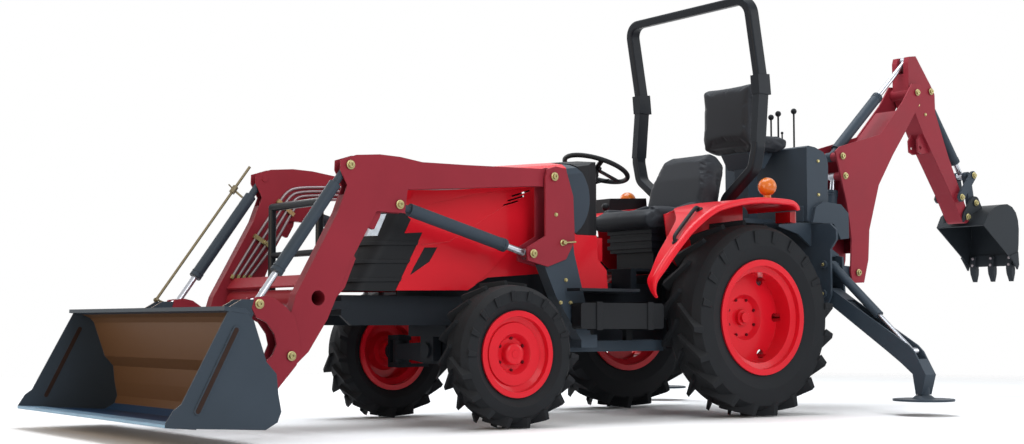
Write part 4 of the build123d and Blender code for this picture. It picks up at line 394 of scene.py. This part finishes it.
# Lock pin of the loader with its pull bar, behind each mast
LOCK = (1286.0, 957.0)
LOCK_HEAD = ((CORE, -1), (17, -1), (17, 5), (12, 7), (12, 26), (9, 29), (CORE, 29))
locks = bmesh.new()
for side in (1, -1):
    face = outer_y("masts", *LOCK, side)
    turned(locks, LOCK_HEAD, mm_at(LOCK, face), (0, side, 0))
    rod(locks, 4, 0, 78, mm_at(LOCK, face + side * 16), (-1, 0, 0.08), 10)
piece("mast_lock_pins", locks, "chassis", ZINC)

# Stabilizer pins lie along X: the middle of the frame's plates there, half their span, and each pin's y and z
STABILIZER_X = -862.0
STABILIZER_SPAN = 82.0
STABILIZER_PINS = ((446.0, 712.0), (452.0, 890.0))
stab_heads = bmesh.new()
for side in (1, -1):
    for y, z in STABILIZER_PINS:
        for way in (1, -1):
            turned(stab_heads, SMALL_HEAD, mm(STABILIZER_X + way * STABILIZER_SPAN, side * y, z), (way, 0, 0), 16)
piece("stabilizer_pin_heads", stab_heads, "chassis", ZINC)


def tube(name, points, radius, body, material):
    """A pipe of a radius in mm along points in mm; NURBS of order 3 rounds its corners."""
    curve = bpy.data.curves.new(name, "CURVE")
    curve.dimensions = "3D"
    curve.bevel_depth = radius / 1000
    curve.bevel_resolution = 3
    curve.resolution_u = 8
    curve.use_fill_caps = True
    spline = curve.splines.new("NURBS")
    spline.points.add(len(points) - 1)
    for index, (x, y, z) in enumerate(points):
        spline.points[index].co = (*mm(x, y, z), 1.0)
    spline.order_u = 3
    spline.use_endpoint_u = True
    curve.materials.append(material)
    made = bpy.data.objects.new(name, curve)
    bpy.context.collection.objects.link(made)
    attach(made, body)
    return made


# Four steel oil lines along the inner face of each loader arm, with clamps and end unions
ARM_INNER = 416.0
LINE_COUNT = 4
LINE_RADIUS = 7.0
LINE_Y = ARM_INNER - LINE_RADIUS
CLAMP_Y = 408.0
CLAMP_PAST = 16.0
CLAMP_HALF = 0.011
CLAMP_THICK_HALF = 0.0085
SQUARE = ((-1, -1), (1, -1), (1, 1), (-1, 1))
UNION = ((CORE, -6), (10, -6), (10, 14), (8, 16), (CORE, 16))
UNION_AXIS = (0.45, 0, -0.89)
LINE_ROUTE = (
    # x and z of the first line, then of the last
    (1470.0, 1290.0, 1470.0, 1272.0), (1900.0, 1282.0, 1900.0, 1217.0), (2180.0, 1270.0, 2180.0, 1205.0),
    (2400.0, 1258.0, 2340.0, 1194.0), (2455.0, 1225.0, 2376.0, 1176.0), (2492.0, 1173.0, 2420.0, 1118.0),
    (2560.0, 1080.0, 2480.0, 1015.0), (2626.0, 983.0, 2533.0, 930.0), (2758.0, 776.0, 2660.0, 775.0),
)


def line_spot(station, index, side):
    """Where one of the lines passes a station of the route."""
    first_x, first_z, last_x, last_z = station
    share = index / (LINE_COUNT - 1)
    return first_x + (last_x - first_x) * share, side * LINE_Y, first_z + (last_z - first_z) * share


for side, label in SIDES:
    for index in range(LINE_COUNT):
        tube(f"arm_line_{index}_{label}", [line_spot(station, index, side) for station in LINE_ROUTE], LINE_RADIUS,
             "loader_arms", BRIGHT_LINE)
    clamps = bmesh.new()
    for first_x, first_z, last_x, last_z in (LINE_ROUTE[5], LINE_ROUTE[7]):
        start = Vector((first_x, side * CLAMP_Y, first_z))
        end = Vector((last_x, side * CLAMP_Y, last_z))
        run = (end - start).normalized()
        start -= run * CLAMP_PAST
        end += run * CLAMP_PAST
        middle = (start + end) / 2
        half = (end - start).length / 2000
        across = Vector((-run.z, 0, run.x))
        closed(clamps, [[clamps.verts.new(
            mm(*middle) + run * (along * half) + across * (over * CLAMP_HALF) + Vector((0, out * CLAMP_THICK_HALF, 0)))
            for along, over in SQUARE] for out in (-1, 1)])
        turned(clamps, HEX_HEAD, mm(*(middle - Vector((0, side * 8.0, 0)))), (0, -side, 0), 6)
    for index in range(LINE_COUNT):
        turned(clamps, UNION, mm(*line_spot(LINE_ROUTE[-1], index, side)), UNION_AXIS, 6)
    piece(f"arm_line_clamps_{label}", clamps, "loader_arms", ZINC, angle=25.0)

# Wiper collar and gland nut at each barrel's mouth
# columns: body, barrel's pin, rod's eye, y, barrel's radius, barrel's length
GLANDS = (
    ("lift_barrels", LIFT_PIN, LIFT_EYE, ARM_Y, 33.0, 690.0),
    ("lift_barrels", LIFT_PIN, LIFT_EYE, -ARM_Y, 33.0, 690.0),
    ("tilt_barrels", TILT_PIN, TILT_EYE, ARM_Y, 30.0, 650.0),
    ("tilt_barrels", TILT_PIN, TILT_EYE, -ARM_Y, 30.0, 650.0),
    ("boom_barrel", BOOM_PIN, BOOM_EYE, 0.0, 35.0, 450.0),
    ("crowd_barrel", CROWD_PIN, CROWD_EYE, 0.0, 35.0, 664.0),
    ("curl_barrel", CURL_PIN, IDLER_PIN, 0.0, 35.0, 590.0),
)
for index, (body, pin, eye, y, radius, length) in enumerate(GLANDS):
    run = Vector((eye[0] - pin[0], 0, eye[1] - pin[1])).normalized()
    mouth = mm(*(Vector((pin[0], y, pin[1])) + run * length))
    collars = bmesh.new()
    for low, high in ((-34.0, -24.0), (-20.0, -2.0)):
        hollow = ((radius - 1, low), (radius + 2.2, low + 1), (radius + 2.2, high - 1), (radius - 1, high))
        turned(collars, hollow, mouth, run, 28)
    piece(f"gland_{index}", collars, body, FINISH["dark_grey"])

# Level rod beside the right arm: it moves with the tilt rod, through a guide on the barrel
LEVEL_Y = -500.0
LEVEL_LOW = Vector((3141.0, LEVEL_Y, 649.0))
LEVEL_TOP = Vector((2623.0, LEVEL_Y, 1363.0))
LEVEL_FOOT_Y = -480.0
level_run = LEVEL_TOP - LEVEL_LOW
level = bmesh.new()
rod(level, 7.5, 0, level_run.length, mm(*LEVEL_LOW), level_run, 12)
rod(level, 13, -5, 5, mm(*LEVEL_LOW), (0, 1, 0), 16)
rod(level, 6, -12, 32, mm(*LEVEL_LOW), (0, 1, 0), 12)
rod(level, 5, -4, 84, mm_at(TILT_EYE, LEVEL_FOOT_Y), (80, 0, 30), 12)
piece("level_rod", level, "tilt_rods", OLIVE)
GUIDE = LEVEL_LOW + level_run * 0.822
GUIDE_FOOT = Vector((2678.0, -470.0, 1194.0))
GUIDE_SLEEVE = ((8.5, -20), (16, -20), (16, 20), (8.5, 20))
guide = bmesh.new()
turned(guide, GUIDE_SLEEVE, mm(*GUIDE), level_run, 16)
rod(guide, 6, 1, 50, mm(*GUIDE_FOOT), GUIDE - GUIDE_FOOT, 8)
rod(guide, 4, 0, 40, mm(*GUIDE), (0.6, 0, 0.55), 8)
piece("level_rod_guide", guide, "tilt_barrels", OLIVE)

# Worn steel face on the loader bucket's cutting edge, its blue tint a painted skylight
edge = bmesh.new()
EDGE_HALF = 914.2
EDGE_SECTION = ((3574.0, 105.6), (3699.0, 112.2), (3700.25, 113.2), (3700.25, 99.4), (3699.0, 99.5), (3640.0, 92.8),
                (3640.0, 92.2), (3700.35, 98.8), (3700.35, 112.8), (3699.0, 113.6), (3574.0, 106.8))
closed(edge, [[edge.verts.new(mm(x, y, z)) for x, z in EDGE_SECTION] for y in (-EDGE_HALF, EDGE_HALF)])
piece("bucket_cutting_edge", edge, "loader_bucket", CUTTING_STEEL_SKYLIT, smooth=False)

# Grab handles on the slope of the fenders
HANDLE_LOW = Vector((640.0, 678.0, 970.0))
HANDLE_HIGH = Vector((392.0, 604.0, 1160.0))
HANDLE_OUT = Vector((0.605, 0.0, 0.796))
HANDLE_RADIUS = 11.0
HANDLE_FOOT = ((CORE, 0), (22, 0), (22, 9), (16, 15), (CORE, 15))
# Share of the way up, and height over the fender
HANDLE_BOW = ((0.0, 0.0), (0.0, 16.0), (0.03, 30.0), (0.1, 36.0), (0.9, 36.0), (0.97, 30.0), (1.0, 16.0), (1.0, 0.0))
for side, label in SIDES:
    spots = []
    for share, height in HANDLE_BOW:
        spot = HANDLE_LOW.lerp(HANDLE_HIGH, share) + HANDLE_OUT * height
        spots.append((spot.x, side * spot.y, spot.z))
    tube(f"grab_handle_{label}", spots, HANDLE_RADIUS, "chassis", FINISH["black_plastic"])
    feet = bmesh.new()
    for foot in (HANDLE_LOW, HANDLE_HIGH):
        turned(feet, HANDLE_FOOT, mm(foot.x, side * foot.y, foot.z), HANDLE_OUT)
    piece(f"grab_handle_feet_{label}", feet, "chassis", FINISH["black_plastic"])

# Tail lamps under the rear of the fenders: least and most y, least and most z, then x and growth of each ring
LAMP_FACE = (556.0, 672.0, 1118.0, 1180.0)
LAMP_RINGS = ((-262.0, 0.0), (-300.0, 4.0), (-312.0, 0.0))
for side, label in SIDES:
    lamp_box = bmesh.new()
    inner, outer, low, high = LAMP_FACE
    closed(lamp_box, [[lamp_box.verts.new(mm(x, side * y, z)) for y, z in (
        (inner - grow, low - grow), (outer + grow, low - grow), (outer + grow, high + grow),
        (inner - grow, high + grow))] for x, grow in LAMP_RINGS])
    piece(f"tail_lamp_{label}", lamp_box, "chassis", RED_LENS, smooth=False)

# Wheel nuts on each rim
FRONT_AXLE = (1704.0, 375.0)
REAR_AXLE = (0.0, 564.5)
NUT = ((9.5, -1), (9.5, 7), (8.5, 8), (5.0, 8), (5.0, 12), (CORE, 12))
# columns: end, axle, radius of the bolt circle, bolts
WHEELS = (("front", FRONT_AXLE, 82.0, 6), ("rear", REAR_AXLE, 108.0, 8))
for end_name, axle, circle, count in WHEELS:
    for side, label in SIDES:
        nuts = bmesh.new()
        for index in range(count):
            angle = 2 * math.pi * (index + 0.5) / count
            spot_x = axle[0] + circle * math.cos(angle)
            spot_z = axle[1] + circle * math.sin(angle)
            face = outer_y(f"{end_name}_rim_{label}", spot_x, spot_z, side)
            if face is not None:
                turned(nuts, NUT, mm(spot_x, face, spot_z), (0, side, 0), 6)
        piece(f"{end_name}_wheel_nuts_{label}", nuts, f"{end_name}_wheel_{label}", WHEEL_NUT, angle=25.0)

# Turn-signal stalk under the steering wheel and boots at the feet of the backhoe levers
tube("signal_stalk", ((712.0, 30.0, 1330.0), (706.0, 90.0, 1342.0), (690.0, 170.0, 1352.0)), 6.0, "chassis",
     FINISH["black_plastic"])
boots = bmesh.new()
BELLOWS = ((CORE, 0), (30, 0), (30, 5), (22, 9), (27, 14), (19, 19), (23, 24), (15, 30), (17, 35), (9, 42), (CORE, 42))
# x and z of a row of boots, and how far their axes lean
for x, z, lean in ((-772.0, 1630.0, 0), (-915.0, 1588.0, 0.3)):
    for y in (100.0, -100.0):
        turned(boots, BELLOWS, mm(x, y, z), (lean, 0, 1), 24)
piece("lever_boots", boots, "chassis", FINISH["black_plastic"])


# Seats: the CAD solid's form is remeshed and blown up as cloth

CLOTH_FRAMES = 20
CLOTH_QUALITY = 4
SMOOTH_STEPS = 12


def stuffed(name, node, body, pressure, cap, voxel=0.006):
    """A padded piece that stands for a CAD seat: remeshed, smoothed and inflated as cloth, up to a cap."""
    source = frame["nodes"][node]
    data = source.data.copy()
    data.name = name
    made = bpy.data.objects.new(name, data)
    bpy.context.collection.objects.link(made)
    made.matrix_world = source.matrix_world.copy()
    data.materials.clear()
    data.materials.append(FINISH["seat_cloth"])
    bpy.context.view_layer.update()
    remesh = made.modifiers.new("voxels", "REMESH")
    remesh.mode = "VOXEL"
    remesh.voxel_size = voxel
    smoothing = made.modifiers.new("smooth", "CORRECTIVE_SMOOTH")
    smoothing.iterations = SMOOTH_STEPS
    smoothing.use_only_smooth = True
    graph = bpy.context.evaluated_depsgraph_get()
    baked = bpy.data.meshes.new_from_object(made.evaluated_get(graph))
    made.modifiers.clear()
    made.data = baked
    rest = [v.co.copy() for v in made.data.vertices]
    cloth = made.modifiers.new("cloth", "CLOTH")
    cloth.settings.use_pressure = True
    cloth.settings.uniform_pressure_force = pressure
    cloth.settings.effector_weights.gravity = 0.0
    cloth.settings.quality = CLOTH_QUALITY
    cloth.point_cache.frame_start = 1
    cloth.point_cache.frame_end = CLOTH_FRAMES
    for step in range(1, CLOTH_FRAMES + 1):
        bpy.context.scene.frame_set(step)
    graph = bpy.context.evaluated_depsgraph_get()
    puffed = bpy.data.meshes.new_from_object(made.evaluated_get(graph))
    made.modifiers.clear()
    made.data = puffed
    for vertex, was in zip(made.data.vertices, rest):
        moved = vertex.co - was
        if moved.length > cap:
            vertex.co = was + moved * (cap / moved.length)
    bpy.context.scene.frame_set(1)
    for face in made.data.polygons:
        face.use_smooth = True
    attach(made, body)
    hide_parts(node)


stuffed("driver_seat", "seat", "chassis", 3.0, 0.008)
stuffed("operator_seat", "hoe_seat", "chassis", 3.0, 0.010)


# Forms that the photograph shows finer than the solids: fender skins, front hub caps and the backhoe bucket

def prism(mesh, outline, y_from, y_to):
    """Closed plate of an (x, z) outline between two y stations, in mm."""
    closed(mesh, [[mesh.verts.new(mm(x, y, z)) for x, z in outline] for y in (y_from, y_to)])


def ribbon(points, thickness):
    """Outline of a bent sheet that follows an open line of (x, z) points."""
    left, right = [], []
    for index, spot in enumerate(points):
        before = Vector(points[max(index - 1, 0)])
        after = Vector(points[min(index + 1, len(points) - 1)])
        run = (after - before).normalized() * thickness / 2
        left.append((spot[0] - run.y, spot[1] + run.x))
        right.append((spot[0] + run.y, spot[1] - run.x))
    return left + right[::-1]


def curve_through(points, steps):
    """Points of a smooth curve through all the given ones."""
    padded = [points[0]] + list(points) + [points[-1]]
    spots = []
    for index in range(1, len(padded) - 2):
        p0, p1, p2, p3 = (Vector(padded[index + shift]) for shift in (-1, 0, 1, 2))
        for step in range(steps):
            t = step / steps
            spots.append(0.5 * (2 * p1 + (p2 - p0) * t + (2 * p0 - 5 * p1 + 4 * p2 - p3) * t * t
                                + (3 * p1 - p0 - 3 * p2 + p3) * t * t * t))
    spots.append(Vector(points[-1]))
    return spots


FENDER_EDGE = 722.0
FENDER_SKIN = (
    # x, z and the inner edge's y
    (815.0, 668.0, 706.0), (832.0, 705.0, 686.0), (828.0, 760.0, 656.0), (789.0, 812.0, 642.0), (708.0, 905.0, 606.0),
    (640.0, 975.0, 586.0), (560.0, 1050.0, 556.0), (475.0, 1112.0, 500.0), (385.0, 1165.0, 392.0),
    (300.0, 1194.0, 304.0), (150.0, 1226.0, 300.0), (20.0, 1240.0, 300.0), (-100.0, 1243.0, 300.0),
    (-220.0, 1240.0, 300.0), (-262.0, 1231.0, 300.0), (-288.0, 1212.0, 300.0), (-297.0, 1190.0, 300.0),
)
FENDER_BROW = (
    # how far in from the outer edge, and how far above the skin
    (46.0, 0.0), (36.0, 2.5), (26.0, 4.0), (15.0, 3.0), (6.0, -1.0), (1.0, -8.0), (0.0, -16.0), (0.0, -26.0),
)
FENDER_THICK = 7.0
FENDER_ABOVE = 4.0
# The brow is narrower where the fender is narrower than this
FULL_BROW_SPAN = 90.0
LEAST_SPAN = 12.0
INNER_WALL = (
    (392.0, 1156.0), (300.0, 1190.0), (150.0, 1222.0), (20.0, 1236.0), (-100.0, 1239.0), (-240.0, 1234.0),
    (-240.0, 1040.0), (-110.0, 945.0), (0.0, 868.0), (290.0, 860.0), (350.0, 905.0),
)
INNER_WALL_Y = (300.0, 308.0)


def fender_stations(inner):
    """Ys across the fender from its inner edge to its outer one, each with its height over the skin."""
    span = FENDER_EDGE - inner
    share = min(1.0, span / FULL_BROW_SPAN)
    flat = [(inner, 0.0), (inner + span * 0.3, 0.0), (inner + span * 0.6, 0.0)]
    return flat + [(FENDER_EDGE - inward * share, above * share) for inward, above in FENDER_BROW]


fenders = bmesh.new()
line = curve_through(FENDER_SKIN, 5)
for side in (1, -1):
    top, under = [], []
    for index, spot in enumerate(line):
        run = line[min(index + 1, len(line) - 1)] - line[max(index - 1, 0)]
        out = Vector((run.y, -run.x)).normalized()
        if out.dot(Vector((spot.x - REAR_AXLE[0], spot.y - REAR_AXLE[1]))) < 0:
            out = -out
        stations = fender_stations(min(spot.z, FENDER_EDGE - LEAST_SPAN))
        for shell, depth, most_y in ((top, FENDER_ABOVE, FENDER_EDGE),
                                     (under, FENDER_ABOVE - FENDER_THICK, FENDER_EDGE - FENDER_THICK)):
            ring = []
            for y, above in stations:
                lift = out * (above + depth)
                ring.append(fenders.verts.new(mm(spot.x + lift.x, side * min(y, most_y), spot.y + lift.y)))
            shell.append(ring)
    last_row, last_column = len(line) - 1, len(top[0]) - 1
    for row in range(last_row):
        for column in range(last_column):
            for shell in (top, under):
                fenders.faces.new((shell[row][column], shell[row + 1][column], shell[row + 1][column + 1],
                                   shell[row][column + 1]))
        for column in (0, last_column):
            fenders.faces.new((top[row][column], top[row + 1][column], under[row + 1][column], under[row][column]))
    for row in (0, last_row):
        for column in range(last_column):
            fenders.faces.new((top[row][column], top[row][column + 1], under[row][column + 1], under[row][column]))
    prism(fenders, INNER_WALL, side * INNER_WALL_Y[0], side * INNER_WALL_Y[1])
shown_fenders = piece("fender_skins", fenders, "chassis", FINISH["bright_red"], angle=40.0)
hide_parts("fenders")

HUB_CAP = ((CORE, 40), (38, 40), (49, 38.5), (54.5, 34), (56.5, 28), (58, 0), (66, -1))
HUB_FACE = 64.0
for side, label in SIDES:
    cap = bmesh.new()
    face = outer_y(f"front_rim_{label}", FRONT_AXLE[0] + HUB_FACE, FRONT_AXLE[1], side)
    turned(cap, HUB_CAP, mm_at(FRONT_AXLE, face), (0, side, 0), 48)
    piece(f"front_hub_cap_{label}", cap, f"front_wheel_{label}", FINISH["bright_red"], angle=50.0)

# Backhoe bucket: the solid's shell, ears and pins, with the photograph's bolted blade, long teeth and side cutters
LINK_OUTSIDE = 60.5
SCOOP_HALF = 205.0
SCOOP_WALL = 8.0
SCOOP_LINE = (
    (-2716.0, 1218.0), (-2764.0, 1298.0), (-2840.0, 1346.0), (-2915.0, 1368.0), (-2985.0, 1376.0), (-3040.0, 1358.0),
    (-3080.0, 1322.0), (-3103.0, 1270.0), (-3110.0, 1205.0), (-3104.0, 1100.0), (-3090.0, 1000.0),
)
SCOOP_SIDE = SCOOP_LINE[:-1] + ((-3098.0, 1030.0), (-3088.0, 962.0), (-3052.0, 968.0), (-2900.0, 1082.0))
SCOOP_SHEET = 10.0
BLADE_LINE = ((-3089.0, 1026.0), (-3078.0, 944.0))
BLADE_THICK = 16.0
CUTTER = ((-3086.0, 1040.0), (-2998.0, 1010.0), (-3040.0, 962.0), (-3076.0, 916.0), (-3092.0, 950.0))
CUTTER_THICK = 12.0
EAR = ((-2645.0, 1245.0), (-2640.0, 1278.0), (-2645.0, 1310.0), (-2740.0, 1422.0), (-2764.0, 1434.0),
       (-2795.0, 1432.0), (-2812.0, 1420.0), (-2860.0, 1345.0), (-2700.0, 1296.0))
EAR_Y = (74.0, 88.0)
SCOOP_PIN_RADIUS = 18.0
SCOOP_PIN_HALF = 94.0
LINK_PIN_END = 96.0
TOOTH_Y = (-155.0, 0.0, 155.0)
SHANK = ((-3064.0, 1018.0), (-3058.0, 990.0), (-3052.0, 928.0), (-3096.0, 928.0), (-3108.0, 985.0), (-3104.0, 1020.0))
SHANK_HALF = 22.0
# A tooth's sections: x and z of the front and of the back, and half the width
TOOTH_SECTIONS = (
    ((-3054.0, 932.0), (-3098.0, 932.0), 24.0),
    ((-3058.0, 890.0), (-3098.0, 890.0), 22.0),
    ((-3078.0, 834.0), (-3086.0, 832.0), 17.0),
)
scoop = bmesh.new()
prism(scoop, ribbon(SCOOP_LINE, SCOOP_SHEET), -SCOOP_HALF + 1, SCOOP_HALF - 1)
prism(scoop, ribbon(BLADE_LINE, BLADE_THICK), -SCOOP_HALF + SCOOP_WALL, SCOOP_HALF - SCOOP_WALL)
for side in (1, -1):
    prism(scoop, SCOOP_SIDE, side * (SCOOP_HALF - SCOOP_WALL), side * SCOOP_HALF)
    prism(scoop, CUTTER, side * SCOOP_HALF, side * (SCOOP_HALF + CUTTER_THICK))
    prism(scoop, EAR, side * EAR_Y[0], side * EAR_Y[1])
rod(scoop, SCOOP_PIN_RADIUS, -SCOOP_PIN_HALF, SCOOP_PIN_HALF, mm_at(SCOOP_PIVOT, 0.0), (0, 1, 0), 24)
for side in (1, -1):
    rod(scoop, SCOOP_PIN_RADIUS, 0, LINK_PIN_END - LINK_OUTSIDE, mm_at(LINK_PIN, side * LINK_OUTSIDE),
        (0, side, 0), 24)
for y in TOOTH_Y:
    prism(scoop, SHANK, y - SHANK_HALF, y + SHANK_HALF)
    closed(scoop, [[scoop.verts.new(mm(x, y + across, z)) for (x, z), across in (
        (front, -half), (front, half), (back, half), (back, -half))] for front, back, half in TOOTH_SECTIONS])
shown_scoop = piece("scoop", scoop, "hoe_bucket", SCOOP_STEEL, angle=28.0)
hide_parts("hoe_bucket")
BOLT_HEAD = ((CORE, 6), (8.5, 6), (10, 4.5), (10, -2), (CORE, -2))
tooth_bolts = bmesh.new()
for y in TOOTH_Y:
    for x, z in ((-3060.0, 1002.0), (-3055.0, 954.0)):
        turned(tooth_bolts, BOLT_HEAD, mm(x, y, z), (1, 0, 0), 16)
piece("tooth_bolts", tooth_bolts, "hoe_bucket", BRIGHT_LINE, angle=25.0)

# Dark plate behind the hood's vents
VENT_SCREEN = ((1354.0, 1150.0), (1560.0, 1150.0), (1560.0, 1190.0), (1354.0, 1234.0))
screen = bmesh.new()
prism(screen, VENT_SCREEN, -2.0, 2.0)
piece("vent_screen", screen, "hood_lid", FINISH["black_plastic"], smooth=False)

# Thin dark brown plates on both faces of the loader bucket's side plates: painted shade of the sunken slots
SLOT_TOP = Vector((3385.0, 502.0))
SLOT_FOOT = Vector((3556.0, 163.0))
SLOT_RADIUS = 10.5
SLOT_SUNK = 0.2
SLOT_PROUD = 0.8
run = (SLOT_FOOT - SLOT_TOP).normalized()
capsule = []
for centre, start in ((SLOT_FOOT, -90.0), (SLOT_TOP, 90.0)):
    for step in range(9):
        turn = math.radians(start + step * 22.5)
        capsule.append((centre.x + SLOT_RADIUS * (run.x * math.cos(turn) - run.y * math.sin(turn)),
                        centre.y + SLOT_RADIUS * (run.y * math.cos(turn) + run.x * math.sin(turn))))
middle = (SLOT_TOP + SLOT_FOOT) / 2
slots = bmesh.new()
for side in (1, -1):
    for start, way in ((side * OUTSIDE, -side), (0.0, side)):
        face = meets_y("loader_bucket", middle.x, middle.y, start, way)
        prism(slots, capsule, face + way * SLOT_SUNK, face - way * SLOT_PROUD)
piece("bucket_slot_shades", slots, "loader_bucket", SLOT_SHADE_BROWN, smooth=False)

# Stage, lights and camera

FADE_FROM = 4.5
FADE_TO = 8.5


def floor_material():
    """White floor that keeps the shadow and fades into the backdrop far from the machine."""
    material = bpy.data.materials.new("pale_floor")
    material.use_nodes = True
    tree = material.node_tree
    link = tree.links.new
    shader = tree.nodes["Principled BSDF"]
    for key, value in (("Base Color", (0.93, 0.93, 0.93, 1.0)), ("Roughness", 0.9), ("Specular IOR Level", 0.0)):
        shader.inputs[key].default_value = value
    place = tree.nodes.new("ShaderNodeTexCoord")
    length = tree.nodes.new("ShaderNodeVectorMath")
    length.operation = "LENGTH"
    link(place.outputs["Object"], length.inputs[0])
    fade = node_of(tree, "ShaderNodeMapRange", From_Min=FADE_FROM, From_Max=FADE_TO)
    fade.interpolation_type = "SMOOTHSTEP"
    link(length.outputs["Value"], fade.inputs["Value"])
    clear = tree.nodes.new("ShaderNodeBsdfTransparent")
    mix = tree.nodes.new("ShaderNodeMixShader")
    link(fade.outputs["Result"], mix.inputs["Fac"])
    link(shader.outputs["BSDF"], mix.inputs[1])
    link(clear.outputs["BSDF"], mix.inputs[2])
    link(mix.outputs["Shader"], tree.nodes["Material Output"].inputs["Surface"])
    return material


FLOOR_HALF = 12.0
floor_mesh = bpy.data.meshes.new("floor")
floor_mesh.from_pydata([(x * FLOOR_HALF, y * FLOOR_HALF, 0) for x, y in SQUARE], [], [(0, 1, 2, 3)])
floor = bpy.data.objects.new("floor", floor_mesh)
bpy.context.collection.objects.link(floor)
floor_mesh.materials.append(floor_material())

# The world lights the machine softly, and is plain white to the camera, in mirrors and through glass
world = bpy.data.worlds.new("studio")
bpy.context.scene.world = world
world.use_nodes = True
sky = world.node_tree
soft = sky.nodes["Background"]
soft.inputs["Color"].default_value = (0.95, 0.97, 1.0, 1.0)
soft.inputs["Strength"].default_value = 0.45
white = node_of(sky, "ShaderNodeBackground", Color=(1.0, 1.0, 1.0, 1.0), Strength=1.0)
ray = sky.nodes.new("ShaderNodeLightPath").outputs
mirrored = math_of(sky, "MAXIMUM", ray["Is Glossy Ray"], ray["Is Transmission Ray"])
seen = math_of(sky, "MAXIMUM", ray["Is Camera Ray"], mirrored)
chosen = sky.nodes.new("ShaderNodeMixShader")
sky.links.new(seen, chosen.inputs["Fac"])
sky.links.new(soft.outputs["Background"], chosen.inputs[1])
sky.links.new(white.outputs["Background"], chosen.inputs[2])
sky.links.new(chosen.outputs["Shader"], sky.nodes["World Output"].inputs["Surface"])

LIGHTS = (
    # name, place, aims at, size, power, colour
    ("key", (1.6, 8.6, 5.2), (0.0, 0.0, 0.9), 5.0, 340.0, (1.0, 1.0, 1.0)),
    ("fill", (-6.5, 5.0, 3.6), (-0.8, 0.0, 0.9), 4.0, 130.0, (1.0, 1.0, 1.0)),
    ("top", (0.0, -1.0, 7.8), (0.0, 0.0, 0.8), 5.5, 600.0, (0.9, 0.95, 1.0)),
    ("back", (0.5, -8.0, 4.0), (0.0, 0.0, 0.9), 4.0, 170.0, (1.0, 1.0, 1.0)),
    ("front", (8.4, 0.6, 1.5), (0.0, 0.0, 0.7), 4.0, 250.0, (1.0, 0.74, 0.5)),
)
for name, place, target, size, power, colour in LIGHTS:
    lamp = bpy.data.lights.new(name, "AREA")
    lamp.size = size
    lamp.energy = power
    lamp.color = colour
    holder = bpy.data.objects.new(name, lamp)
    holder.location = place
    holder.rotation_euler = (Vector(target) - Vector(place)).to_track_quat("-Z", "Y").to_euler()
    bpy.context.collection.objects.link(holder)

CAMERA_PLACE = Vector((5.9967, 6.8433, 0.5278))
CAMERA_YAW = math.radians(-126.338)
CAMERA_PITCH = math.radians(3.824)
looks = Vector((math.cos(CAMERA_PITCH) * math.cos(CAMERA_YAW), math.cos(CAMERA_PITCH) * math.sin(CAMERA_YAW),
                math.sin(CAMERA_PITCH)))
lens = bpy.data.cameras.new("camera")
lens.sensor_width = 36.0
lens.lens = 53.55
camera = bpy.data.objects.new("camera", lens)
camera.location = CAMERA_PLACE
camera.rotation_euler = looks.to_track_quat("-Z", "Y").to_euler()
bpy.context.collection.objects.link(camera)
bpy.context.scene.camera = camera
bpy.context.scene.view_settings.view_transform = "Standard"
